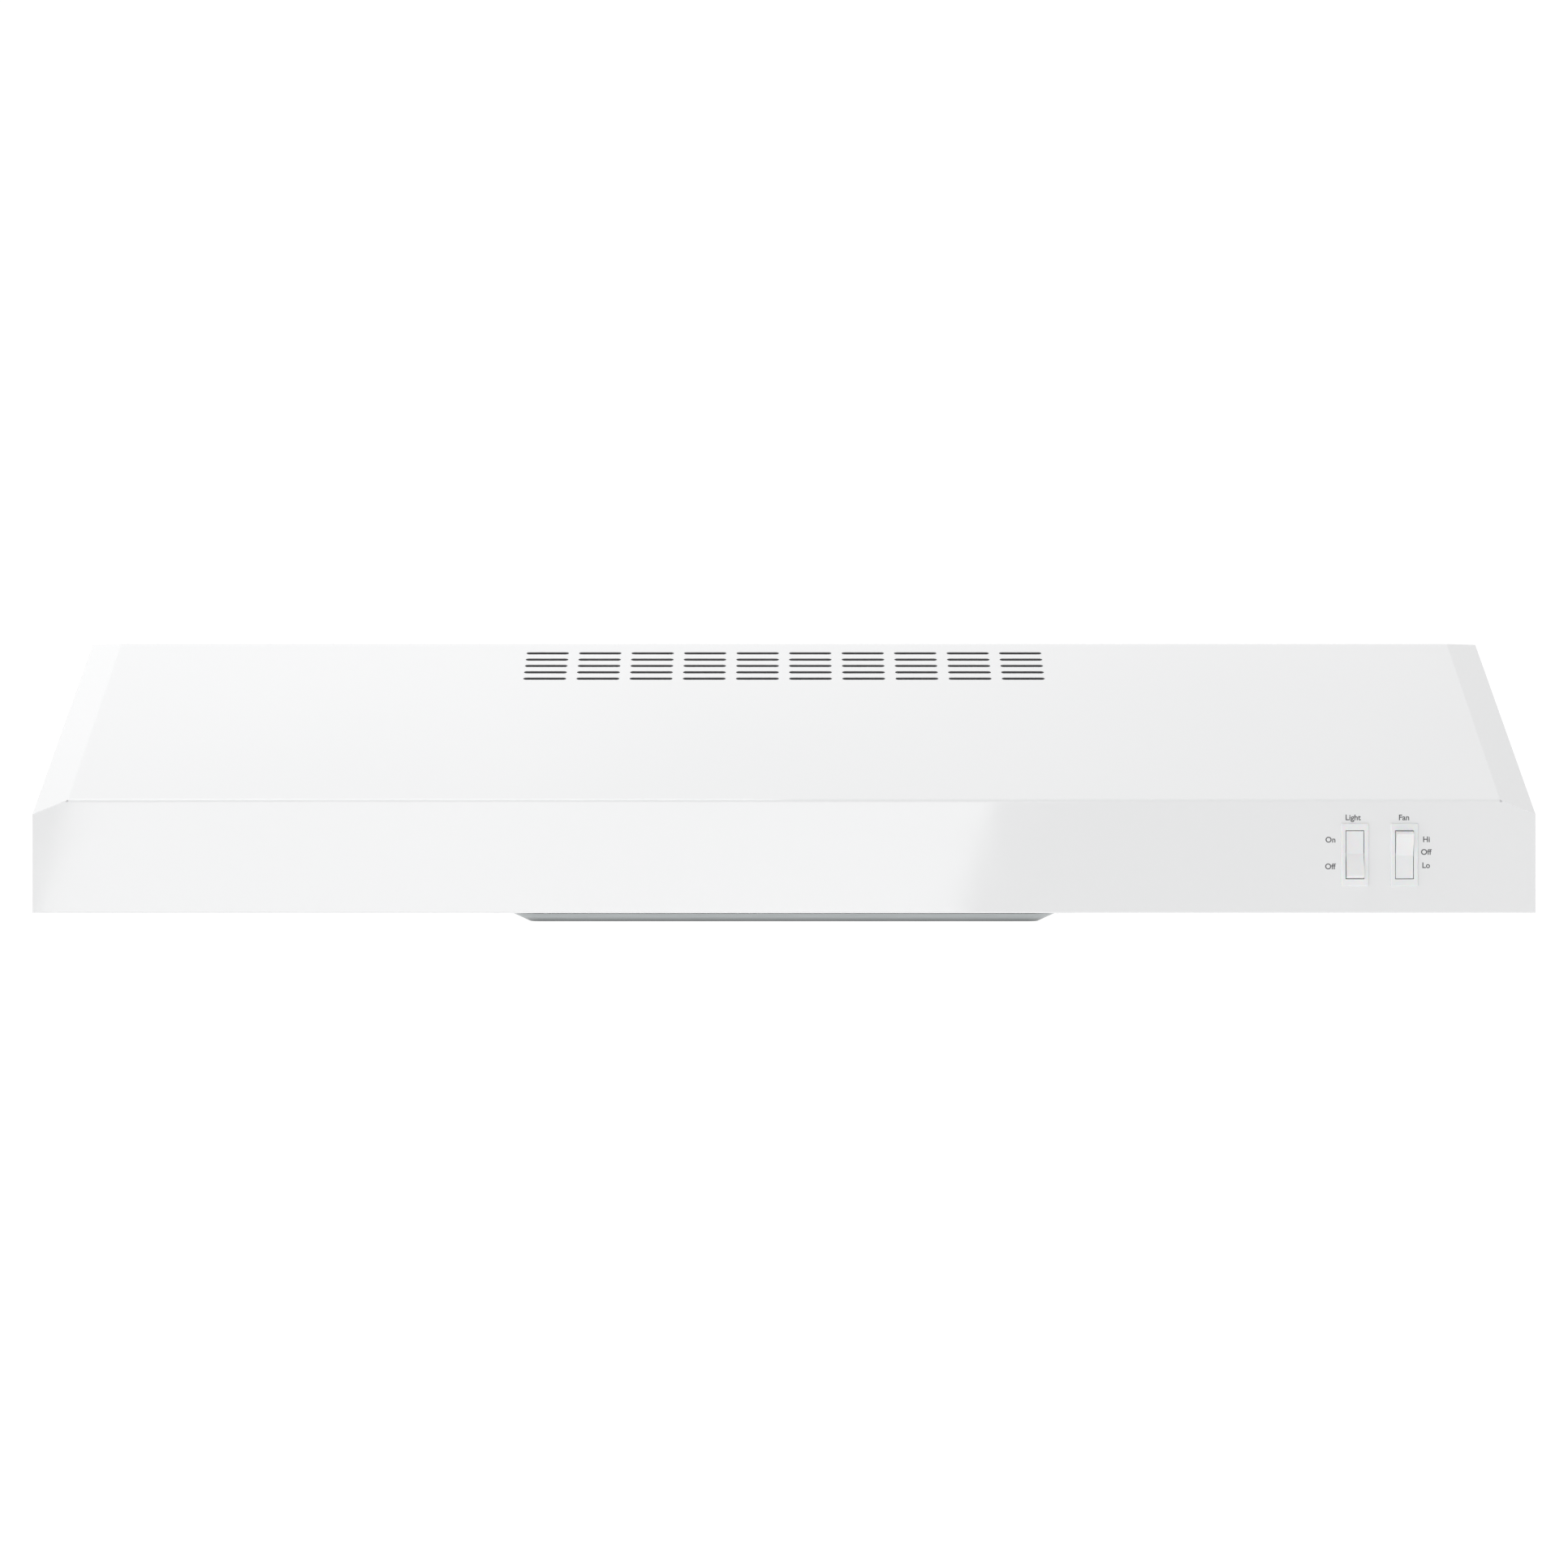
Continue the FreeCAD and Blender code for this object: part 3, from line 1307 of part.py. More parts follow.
def make_fan():
    """Five twisted blades on a hub, trimmed to the tip circle."""
    body = new_body("fan_blade")
    place(body, 0, d.fan_y, 0)
    pad(body, "XY", [("circle", 0, 0, d.hub_r)], d.hub_low, d.hub_high)
    sketches = []
    for x, chord, pitch, sweep in BLADE_STATIONS:
        sketches.append(new_sketch(body, "YZ", [blade_section(chord, pitch, sweep)], x))
    loft = body.newObject("PartDesign::AdditiveLoft", "blade")
    loft.Profile = sketches[0]
    loft.Sections = sketches[1:]
    loft.Ruled = False
    doc.recompute()
    hatch(body, loft, BLADES)
    trim = [("circle", 0, 0, d.blade_r), ("circle", 0, 0, d.blade_r + 30)]
    pocket(body, "XY", trim, d.ring_low - 10, d.hub_high + 10)
    recess = [("circle", 0, 0, 9), ("circle", 0, 0, d.hub_r - 3)]
    pocket(body, "XY", recess, d.hub_low - 1, d.hub_low + 16)
    pocket(body, "XY", [("circle", 0, 0, d.shaft_r)], d.hub_low - 1, d.hub_high + 1)

    def hub_top(p, edge):
        return near(edge.BoundBox.ZMin, d.hub_high) and near(edge.BoundBox.XLength, d.hub_r * 2, 0.1)

    round_edges(body, hub_top, 2.5)
    return keep(body)


# ---------------------------------------------------------------- filter tray

LENS_WINDOW = (120.0, -147.0, -102.0)
MESH_WINDOW = (127.0, -84.0, 132.0)
LENS_T = 2.0
MESH_T = 3.0
INSERT_LAP = 4.0


def window_rect(window, grow):
    half, front, rear = window
    return rect(as_dim(-half - grow), as_dim(half + grow), as_dim(front - grow), as_dim(rear + grow))


def make_tray():
    """Shallow drawn dish with two windows, hinge knuckles and retaining tabs."""
    body = new_body("filter_frame")
    inset = d.tray_half - d.tray_half_low
    deep = d.tray_top - d.tray_low
    wall = d.tray_t * root(deep * deep + inset * inset) / deep
    rise = inset * d.tray_t / deep

    def outline(shrink, radius):
        half = d.tray_half - shrink
        return [("rounded", -half, half, d.tray_front + shrink, d.tray_rear - shrink, radius)]

    corner_r = as_dim(16)
    top = new_sketch(body, "XY", outline(0, corner_r), d.tray_top)
    bottom = new_sketch(body, "XY", outline(inset, corner_r - inset), d.tray_low)
    dish = body.newObject("PartDesign::AdditiveLoft", "dish")
    dish.Profile = top
    dish.Sections = [bottom]
    doc.recompute()
    top = new_sketch(body, "XY", outline(wall, corner_r - wall), d.tray_top)
    floor_inset = inset - rise + wall
    floor = new_sketch(body, "XY", outline(floor_inset, corner_r - floor_inset), d.tray_low + d.tray_t)
    hollow = body.newObject("PartDesign::SubtractiveLoft", "hollow")
    hollow.Profile = top
    hollow.Sections = [floor]
    doc.recompute()

    def bottom_edge(p, edge):
        return near(edge.BoundBox.ZMax, d.tray_low) and near(edge.BoundBox.ZMin, d.tray_low)

    round_edges(body, bottom_edge, 3)
    windows = [window_rect(LENS_WINDOW, 0), window_rect(MESH_WINDOW, 0)]
    pocket(body, "XY", windows, d.tray_low - 1, d.tray_low + 2)
    add_knuckles(body)
    add_tabs(body)
    return keep(body)


def knuckle_spans():
    gap = 0.5
    width = 5.5
    inner = d.hinge_ear_x - gap
    outer = d.hinge_ear_x + d.hinge_ear_w + gap
    return ((inner - width, inner), (outer, outer + width))


def add_knuckles(body):
    knuckle_r = 1.9
    for _, side in SIDES:
        for low, high in knuckle_spans():
            low, high = mirrored(side, low, high)
            pad(body, "YZ", [rect(d.tray_rear - 5, d.hinge_y, d.hinge_z - 0.9, d.hinge_z + 0.9)], low, high)
            pad(body, "YZ", [("circle", d.hinge_y, d.hinge_z, knuckle_r)], low, high)
            pocket(body, "YZ", [("circle", d.hinge_y, d.hinge_z, d.hinge_rod_r)], low - 0.1, high + 0.1)


def add_tabs(body):
    """Small hooks that hold the lens and the mesh down on the dish floor."""
    floor = d.tray_low + d.tray_t
    mesh_side = MESH_WINDOW[0] + INSERT_LAP + SPACE
    risers = []
    hooks = []
    for side in (-1, 1):
        for y in (-45.0, 25.0, 95.0):
            low, high = mirrored(side, mesh_side, mesh_side + 0.9)
            risers.append(rect(low, high, y - 5, y + 5))
            low, high = mirrored(side, mesh_side - 5, mesh_side + 0.5)
            hooks.append(rect(low, high, y - 5, y + 5))
    pad(body, "XY", risers, floor - 0.3, floor + MESH_T + 0.6)
    pad(body, "XY", hooks, floor + MESH_T + 0.1, floor + MESH_T + 0.6)
    lens_rear = LENS_WINDOW[2] + INSERT_LAP + SPACE
    risers = []
    hooks = []
    for x in (-70.0, 70.0):
        risers.append(rect(as_dim(x - 6), as_dim(x + 6), lens_rear, lens_rear + 0.9))
        hooks.append(rect(as_dim(x - 6), as_dim(x + 6), lens_rear - 5, lens_rear + 0.5))
    pad(body, "XY", risers, floor - 0.3, floor + LENS_T + 0.6)
    pad(body, "XY", hooks, floor + LENS_T + 0.1, floor + LENS_T + 0.6)


def insert_plate(name, window, thickness):
    """Flat insert lying on the tray, lapping its window on every side."""
    half, front, rear = window
    floor = d.tray_low + d.tray_t
    right = as_dim(half + INSERT_LAP)
    back = as_dim(rear + INSERT_LAP)
    return block(name, -half - INSERT_LAP, right, front - INSERT_LAP, back, floor, floor + thickness)


def make_tray_inserts():
    keep(insert_plate("light_lens", LENS_WINDOW, LENS_T))
    keep(insert_plate("filter_mesh", MESH_WINDOW, MESH_T))
    rods = []
    for _, side in SIDES:
        start = knuckle_spans()[0][0] + 0.5
        end = knuckle_spans()[1][1] - 0.5
        low, high = mirrored(side, start, end)
        rods.append(rod(f"hinge_rod_{side + 1}", "X", low, d.hinge_y, d.hinge_z, d.hinge_rod_r, high - low))
    keep(group("filter_hinge_rods", rods))
    clips = []
    for name, side in SIDES:
        body = new_body("spring_clip_" + name)
        low, high = mirrored(side, LENS_WINDOW[0] + 6, LENS_WINDOW[0] + 14)
        pad(body, "YZ", [outlines["clip"]], low, high)
        clips.append(body)
    keep(group("filter_spring_clips", clips))


# ---------------------------------------------------------------- switches

def make_switch_body(name, x):
    """Snap-in housing with a bezel and a deep well for the rocker."""
    body = new_body(name + "_switch_body")
    half_w = d.bezel_w / 2
    half_h = d.bezel_h / 2
    bezel = rect(x - half_w, x + half_w, d.switch_z - half_h, d.switch_z + half_h)
    pad(body, "XZ", [bezel], d.front_y - d.bezel_t, d.front_y)

    def bezel_edge(p, edge):
        face_edge = near(edge.BoundBox.YMax, d.front_y - d.bezel_t)
        return face_edge or edge.BoundBox.YLength > 0.5

    round_edges(body, bezel_edge, 0.6)
    half_w = d.housing_w / 2
    half_h = d.housing_h / 2
    housing = rect(x - half_w, x + half_w, d.switch_z - half_h, d.switch_z + half_h)
    pad(body, "XZ", [housing], d.front_y - 0.2, d.front_y + d.housing_d)
    half_w = d.well_w / 2
    half_h = d.well_h / 2
    well = rect(x - half_w, x + half_w, d.switch_z - half_h, d.switch_z + half_h)
    pocket(body, "XZ", [well], d.front_y - d.bezel_t - 1, d.pivot_y + 7)
    pocket(body, "YZ", [("circle", d.pivot_y, d.switch_z, d.trunnion_r + d.fit)],
           x - d.housing_w / 2 - 1, x + d.housing_w / 2 + 1)
    return keep(body)


def make_rocker(name, x, tilt_sign):
    """V-faced rocker on two trunnions, stored with one end pressed in."""
    body = new_body(name + "_rocker")
    tilt = tilt_sign * d.rocker_tilt.value
    body.Placement = FreeCAD.Placement(FreeCAD.Vector(), FreeCAD.Rotation(FreeCAD.Vector(1, 0, 0), tilt))
    place(body, x, d.pivot_y, d.switch_z)
    half_w = d.rocker_w / 2
    pad(body, "YZ", [("circle", 0, 0, d.rocker_r)], -half_w, half_w)
    reach = 20
    fall = reach * math.sin(math.radians(d.rocker_tilt.value))
    rise = reach * math.cos(math.radians(d.rocker_tilt.value))
    ahead = [
        (-d.rocker_nose, 0),
        (-d.rocker_nose - fall, rise),
        (-40, rise),
        (-40, -rise),
        (-d.rocker_nose - fall, -rise),
    ]
    pocket(body, "YZ", [ahead], -half_w - 1, half_w + 1)
    pocket(body, "YZ", [rect(d.rocker_back, 20, -20, 20)], -half_w - 1, half_w + 1)
    pad(body, "YZ", [("circle", 0, 0, d.trunnion_r)], -half_w - 1.2, half_w + 1.2)
    return keep(body)


def terminal_spots():
    spots = []
    for z in (6, -6):
        spots.append((d.light_x, d.switch_z + z))
    for z in (8, 0, -8):
        spots.append((d.fan_x, d.switch_z + z))
    return spots


TERMINAL_LENGTH = 8.0


def make_terminals():
    items = []
    start = d.front_y + d.housing_d
    for i, (x, z) in enumerate(terminal_spots()):
        items.append(block(f"terminal_{i}", x - 2.4, x + 2.4, start, start + TERMINAL_LENGTH,
                           z - 0.4, z + 0.4))
    return keep(group("switch_terminals", items))


# ---------------------------------------------------------------- duct collar and damper

def make_collar():
    body = new_body("duct_collar")
    start = d.wall_y + d.gasket_t
    half_w = d.duct_w / 2
    half_h = d.duct_h / 2
    flange = rect(-half_w - d.collar_flange, half_w + d.collar_flange,
                  d.duct_z - half_h - d.collar_flange, d.duct_z + half_h + d.collar_flange)
    pad(body, "XZ", [flange], start, start + d.sheet_t)
    tube = rect(-half_w, half_w, d.duct_z - half_h, d.duct_z + half_h)
    pad(body, "XZ", [tube], start, d.collar_end)

    def tube_corner(p, edge):
        return edge.BoundBox.YLength > 20 and near(abs(p.x), half_w)

    round_edges(body, tube_corner, 2)
    bore = rect(-half_w + d.sheet_t, half_w - d.sheet_t,
                d.duct_z - half_h + d.sheet_t, d.duct_z + half_h - d.sheet_t)
    pocket(body, "XZ", [bore], start - 1, d.collar_end + 1)
    stop_top = d.duct_z - half_h + 6
    stops = []
    for side in (-1, 1):
        stops.append(rect(as_dim(66 * side - 6), as_dim(66 * side + 6),
                          d.duct_z - half_h + d.sheet_t / 2, stop_top))
    pad(body, "XZ", stops, d.flap_y - 1.3, d.flap_y - 0.5)
    pin_hole = [("circle", d.flap_y, d.flap_z, d.hinge_rod_r + d.fit)]
    for _, side in SIDES:
        low, high = mirrored(side, half_w - 3, half_w + 1)
        pocket(body, "YZ", pin_hole, low, high)
    holes = [("circle", x, z, d.screw_r) for x, z in collar_screw_spots()]
    pocket(body, "XZ", holes, start - 1, start + 2)
    return keep(body)


def make_gasket():
    body = new_body("collar_gasket")
    half_w = d.duct_w / 2
    half_h = d.duct_h / 2
    rim = d.collar_flange - 0.5
    outer = rect(-half_w - rim, half_w + rim, d.duct_z - half_h - rim, d.duct_z + half_h + rim)
    inner = rect(-half_w + d.sheet_t, half_w - d.sheet_t,
                 d.duct_z - half_h + d.sheet_t, d.duct_z + half_h - d.sheet_t)
    pad(body, "XZ", [outer, inner], d.wall_y, d.wall_y + d.gasket_t)
    holes = [("circle", x, z, d.screw_r) for x, z in collar_screw_spots()]
    pocket(body, "XZ", holes, d.wall_y - 1, d.wall_y + d.gasket_t + 1)
    return keep(body)


def make_collar_screws():
    items = []
    start = d.wall_y + d.gasket_t + d.sheet_t
    for i, (x, z) in enumerate(collar_screw_spots()):
        items.append(screw(f"collar_screw_{i}", "Y", -1, x, start, z, 6))
    return keep(group("collar_screws", items))


def make_flap():
    """Hanging damper flap with two rolled knuckles and two stiffening beads."""
    body = new_body("damper_flap")
    half_w = d.flap_w / 2
    thick = 0.8
    low_z = d.flap_z - d.flap_drop
    pad(body, "XZ", [rect(-half_w, half_w, low_z, d.flap_z)], d.flap_y - thick / 2, d.flap_y + thick / 2)
    for z in (-40.0, -66.0):
        pad(body, "YZ", [("circle", d.flap_y + 0.2, z, 1.1)], -half_w + 20, half_w - 20)
    for _, side in SIDES:
        low, high = mirrored(side, half_w - 16, half_w)
        pad(body, "YZ", [("circle", d.flap_y, d.flap_z, 2.3)], low, high)
        pocket(body, "YZ", [("circle", d.flap_y, d.flap_z, d.hinge_rod_r)], low - 1, high + 1)
    keep(body)
    pins = []
    for i, (_, side) in enumerate(SIDES):
        inner = half_w - 15.5
        wall = d.duct_w / 2 + 0.1
        low, high = mirrored(side, inner, wall + 1.2)
        shank = rod(f"pin_shank_{i}", "X", low, d.flap_y, d.flap_z, d.hinge_rod_r, high - low)
        low, high = mirrored(side, wall, wall + 1.2)
        cap = rod(f"pin_cap_{i}", "X", low, d.flap_y, d.flap_z, 2.6, high - low)
        pins.append(fuse(f"damper_pin_{i}", [shank, cap]))
    keep(group("damper_pivot_pins", pins))


# ---------------------------------------------------------------- wiring

GROUND_Y = 140.0
WIRE_STEP = 2.6
WIRE_BEND = 22.0


def make_wiring_box():
    """Three walls against the back panel, with flanges for the cover."""
    body = new_body("wiring_box")
    t_wall = d.sheet_t
    outline = [
        (d.wbox_x0, d.inner_y),
        (d.wbox_x0, d.wbox_y0),
        (d.wbox_x1, d.wbox_y0),
        (d.wbox_x1, d.inner_y),
        (d.wbox_x1 - t_wall, d.inner_y),
        (d.wbox_x1 - t_wall, d.wbox_y0 + t_wall),
        (d.wbox_x0 + t_wall, d.wbox_y0 + t_wall),
        (d.wbox_x0 + t_wall, d.inner_y),
    ]
    pad(body, "XY", [outline], d.wbox_low, -d.sheet_t)
    flanges = [
        rect(d.wbox_x0, d.wbox_x1, d.wbox_y0, d.wbox_y0 + 11),
        rect(d.wbox_x0, d.wbox_x1, d.inner_y - 11, d.inner_y),
    ]
    pad(body, "XY", flanges, d.wbox_low, d.wbox_low + t_wall)
    holes = [("circle", x, y, d.screw_r) for x, y in cover_screw_spots()]
    pocket(body, "XY", holes, d.wbox_low - 1, d.wbox_low + 2)
    entries = [
        rect(as_dim(206.5), as_dim(224), as_dim(-13.5), as_dim(-6.5)),
        rect(as_dim(182), as_dim(191), as_dim(-39), as_dim(-33)),
    ]
    pocket(body, "XZ", entries, d.wbox_y0 - 1, d.wbox_y0 + 2)
    pocket(body, "YZ", [("circle", d.bush_y, d.bush_z, 6.5)], d.wbox_x0 - 1, d.wbox_x0 + 2)
    pocket(body, "YZ", [("circle", GROUND_Y, d.wiring_z, d.screw_r)], d.wbox_x1 - 2, d.wbox_x1 + 1)
    return keep(body)


def cover_screw_spots():
    middle_x = (d.wbox_x0 + d.wbox_x1) / 2
    return ((middle_x, d.wbox_y0 + 6), (middle_x, d.inner_y - 6))


def make_wiring_cover():
    body = new_body("wiring_box_cover")
    low = d.wbox_low - d.sheet_t
    pad(body, "XY", [rect(d.wbox_x0, d.wbox_x1, d.wbox_y0, d.inner_y)], low, d.wbox_low)
    holes = [("circle", x, y, d.screw_r) for x, y in cover_screw_spots()]
    pocket(body, "XY", holes, low - 1, d.wbox_low + 1)
    keep(body)
    items = []
    for i, (x, y) in enumerate(cover_screw_spots()):
        items.append(screw(f"cover_screw_{i}", "Z", 1, x, y, low, 2.8))
    keep(group("wiring_box_screws", items))
    keep(screw("ground_screw", "X", 1, d.wbox_x1 - d.sheet_t, GROUND_Y, d.wiring_z, 1.6))


BLOCK = (182.0, 224.0, 45.0, 70.0, -40.0, -4.0)


def make_terminal_block():
    x0, x1, y0, y1, z0, z1 = BLOCK
    body = new_body("terminal_block")
    pad(body, "XY", [rect(as_dim(x0), as_dim(x1), as_dim(y0), as_dim(y1))], z0, z1)
    grooves = []
    for i in range(4):
        x = x0 + 8 + i * 8.7
        grooves.append(rect(as_dim(x - 2.4), as_dim(x + 2.4), as_dim(y0 + 4), as_dim(y1 - 4)))
    pocket(body, "XY", grooves, z0 - 1, z0 + 4)
    return keep(body)


def make_bushings():
    sleeve = rod("sleeve", "X", d.box_half - 2.8, d.bush_y, d.bush_z, 6.5, d.wbox_x0 + 2.8 - d.box_half + 2.8)
    heads = [
        rod("sleeve_head_in", "X", d.box_half - 2.8, d.bush_y, d.bush_z, 8, 2),
        rod("sleeve_head_out", "X", d.wbox_x0 + d.sheet_t, d.bush_y, d.bush_z, 8, 2),
    ]
    hole = rod("sleeve_hole", "X", d.box_half - 10, d.bush_y, d.bush_z, 5, 40)
    first = cut("motor_wire_bushing", fuse("sleeve_solid", [sleeve] + heads), [hole])
    sleeve = rod("lamp_sleeve", "X", d.box_half - 2.8, d.lamp_y, d.lamp_z, 5.5, 4.8)
    heads = [
        rod("lamp_head_in", "X", d.box_half - 2.8, d.lamp_y, d.lamp_z, 7, 2),
        rod("lamp_head_out", "X", d.box_half, d.lamp_y, d.lamp_z, 7, 2),
    ]
    hole = rod("lamp_sleeve_hole", "X", d.box_half - 10, d.lamp_y, d.lamp_z, 4, 40)
    second = cut("lamp_wire_bushing", fuse("lamp_sleeve_solid", [sleeve] + heads), [hole])
    return keep(group("wire_bushings", [first, second]))


def wire_path(corners):
    """Straight runs joined by tangent arcs."""
    edges = []
    here = corners[0]
    length = 0.0
    for i in range(1, len(corners) - 1):
        before = corners[i] - corners[i - 1]
        after = corners[i + 1] - corners[i]
        turn = before.getAngle(after)
        run = min(before.Length, after.Length)
        radius = min(WIRE_BEND, 0.45 * run / math.tan(turn / 2))
        print(f"wire bend radius {radius:.1f}")
        back = radius * math.tan(turn / 2)
        start = corners[i] - before.normalize() * back
        end = corners[i] + after.normalize() * back
        inward = (after - before).normalize()
        centre_gap = radius / math.cos(turn / 2)
        mid = corners[i] + inward * (centre_gap - radius)
        edges.append(Part.makeLine(here, start))
        edges.append(Part.Arc(start, mid, end).toShape())
        length += (start - here).Length + radius * turn
        here = end
    edges.append(Part.makeLine(here, corners[-1]))
    length += (corners[-1] - here).Length
    return Part.Wire(edges), length


def wire_solid(corners, radius):
    """Round wire swept along its path; the volume is compared with section times length."""
    corners = [FreeCAD.Vector(*[as_dim(part).value for part in corner]) for corner in corners]
    path, length = wire_path(corners)
    radius = as_dim(radius).value
    heading = corners[1] - corners[0]
    ring_wire = Part.Wire(Part.makeCircle(radius, corners[0], heading))
    solid = path.makePipeShell([ring_wire], True, True)
    expected = math.pi * radius * radius * length
    if abs(solid.Volume / expected - 1) > 0.01:
        raise ValueError(f"wire volume {solid.Volume} is not {expected}")
    return solid


def make_wires(label, paths):
    item = doc.addObject("Part::Feature", label)
    item.Label = label
    item.Shape = Part.makeCompound([wire_solid(path, d.wire_r) for path in paths])
    return keep(item)


def switch_wire_paths():
    paths = []
    start = d.front_y + d.housing_d + TERMINAL_LENGTH
    for i, (x, z) in enumerate(terminal_spots()):
        side = WIRE_STEP * i
        paths.append([
            (x, start, z),
            (x, start + 26, z),
            (250 + side, -168, -10),
            (210 + side, -100, -10),
            (210 + side, BLOCK[2], -10),
        ])
    return paths


def motor_wire_paths():
    paths = []
    for shift in (-2.8, 0, 2.8):
        y = d.bush_y + shift
        paths.append([
            (BLOCK[0], y, d.bush_z),
            (115, y, d.bush_z),
            (70, y, -12),
            (8, y, -12),
            (8, y, d.core_high + 9),
        ])
    return paths


def lamp_wire_paths():
    paths = []
    for shift, x in ((1.4, 185), (-1.4, 188)):
        y = d.lamp_y + shift
        paths.append([
            (x, BLOCK[2], -36),
            (x, y, -36),
            (x, y, d.lamp_z),
            (SOCKET_BACK + 3, y, d.lamp_z),
        ])
    return paths


def make_clips():
    """Saddles that hang the wires from the flat top."""
    pieces = []
    for i, y in enumerate((-72.0, -20.0)):
        solid = block(f"saddle_{i}", 206, as_dim(224.4), y - 4, as_dim(y + 4), -13, -d.sheet_t)
        gap = block(f"saddle_gap_{i}", 208.6, as_dim(221.7), y - 5, as_dim(y + 5), -11.2, -8.8)
        pieces.append(cut(f"wire_saddle_{i}", solid, [gap]))
    for i, y in enumerate((-80.0, -20.0)):
        solid = block(f"hanger_{i}", 182, as_dim(191), y - 4, as_dim(y + 4), -39, -d.sheet_t)
        gap = block(f"hanger_gap_{i}", 183.8, as_dim(189.2), y - 5, as_dim(y + 5), -37.2, -34.8)
        space = block(f"hanger_space_{i}", 184, as_dim(189), y - 5, as_dim(y + 5), -32, -4)
        pieces.append(cut(f"wire_hanger_{i}", solid, [gap, space]))
    return keep(group("wire_clips", pieces))


def make_panel_screws():
    items = []
    for _, side in SIDES:
        for z in SCREW_ROWS:
            items.append(screw(f"panel_screw_{len(items)}", "Y", -1, (d.half - SIDE_SCREW_IN) * side,
                               d.wall_y, z, 4))
    return keep(group("canopy_screws", items))


# ---------------------------------------------------------------- build and write

plan_strips()
make_canopy()
for side_name, side_sign in SIDES:
    make_side_panel(side_name, side_sign)
make_back_panel()
make_baffle()
for side_name, side_sign in SIDES:
    make_fan_box_wall(side_name, side_sign)
make_rail()
make_deck()
make_deck_screws()
make_reflector()
make_socket_bracket()
make_socket()
make_bulb()
make_lamp_screws()
make_motor_bracket()
make_grommets()
make_end_bell("lower", d.bell_low, d.core_low, -1)
make_end_bell("upper", d.bell_high, d.core_high, 1)
make_bearing("lower", d.bell_low - 2, d.core_low - 2, d.bell_low + d.bell_t)
make_bearing("upper", d.core_high + 2, d.bell_high + 1.5, d.bell_high - d.bell_t - 1.5)
make_core()
make_coil()
make_rotor()
make_shaft_rings()
make_motor_screws()
make_fan()
make_tray()
make_tray_inserts()
make_switch_body("light", d.light_x)
make_switch_body("fan", d.fan_x)
make_rocker("light", d.light_x, -1)
make_rocker("fan", d.fan_x, 1)
make_terminals()
make_collar()
make_gasket()
make_collar_screws()
make_flap()
make_wiring_box()
make_wiring_cover()
make_terminal_block()
make_bushings()
make_wires("wires_switches", switch_wire_paths())
make_wires("wires_motor", motor_wire_paths())
make_wires("wires_lamp", lamp_wire_paths())
make_clips()
make_panel_screws()

doc.recompute()

for item in doc.Objects:
    if "Invalid" in item.State or "Error" in item.State:
        raise ValueError(f"{item.Label} did not compute: {item.State}")

for label, item in nodes.items():
    if item.Shape.isNull() or not item.Shape.isValid():
        raise ValueError(f"{label} is not a valid shape")
    item.Shape.exportStep(f"parts/{label}.step")
    print(label, len(item.Shape.Solids), round(item.Shape.Volume))
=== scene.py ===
import json
import math

import bpy
from mathutils import Matrix, Vector


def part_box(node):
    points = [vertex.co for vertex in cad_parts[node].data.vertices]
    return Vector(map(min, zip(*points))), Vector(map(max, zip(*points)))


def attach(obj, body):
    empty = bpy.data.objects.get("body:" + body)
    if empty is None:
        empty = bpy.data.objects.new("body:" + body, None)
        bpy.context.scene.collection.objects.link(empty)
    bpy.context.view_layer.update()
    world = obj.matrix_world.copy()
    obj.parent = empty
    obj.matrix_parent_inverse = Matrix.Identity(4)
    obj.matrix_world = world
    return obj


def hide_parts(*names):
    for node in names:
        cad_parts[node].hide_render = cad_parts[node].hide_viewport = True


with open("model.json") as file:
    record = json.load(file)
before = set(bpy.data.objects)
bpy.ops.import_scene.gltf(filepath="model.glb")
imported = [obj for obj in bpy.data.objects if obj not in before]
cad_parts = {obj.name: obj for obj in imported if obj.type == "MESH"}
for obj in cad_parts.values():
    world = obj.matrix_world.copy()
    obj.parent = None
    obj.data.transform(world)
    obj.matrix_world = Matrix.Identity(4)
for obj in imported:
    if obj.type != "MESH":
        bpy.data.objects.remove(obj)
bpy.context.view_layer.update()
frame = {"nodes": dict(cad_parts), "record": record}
nodes = frame["nodes"]

# Metres, in the CAD's frame: +X right, -Y towards the cook, +Z up. Most lengths are millimetres times MM.
MM = 0.001
scene = bpy.context.scene
scene.view_settings.view_transform = "Standard"


# ---------------------------------------------------------------- camera, floor and light

CAMERA_SPOT = (0, -2.5386, -0.07635)
LENS_MM = 100
SENSOR_MM = 36


def make_camera():
    """Level and square on to the front."""
    data = bpy.data.cameras.new("camera")
    data.lens = LENS_MM
    data.sensor_width = SENSOR_MM
    data.clip_start = 0.05
    data.clip_end = 200
    camera = bpy.data.objects.new("camera", data)
    camera.location = CAMERA_SPOT
    camera.rotation_euler = (math.pi / 2, 0, 0)
    scene.collection.objects.link(camera)
    scene.camera = camera


FLOOR_Z = -1.65
FLOOR_HALF = 30.0
# The floor glows a little, and more in the distance: (y, strength) near the hood, then far behind it.
GLOW_NEAR = (2.0, 0.28)
GLOW_FAR = (6.0, 0.42)


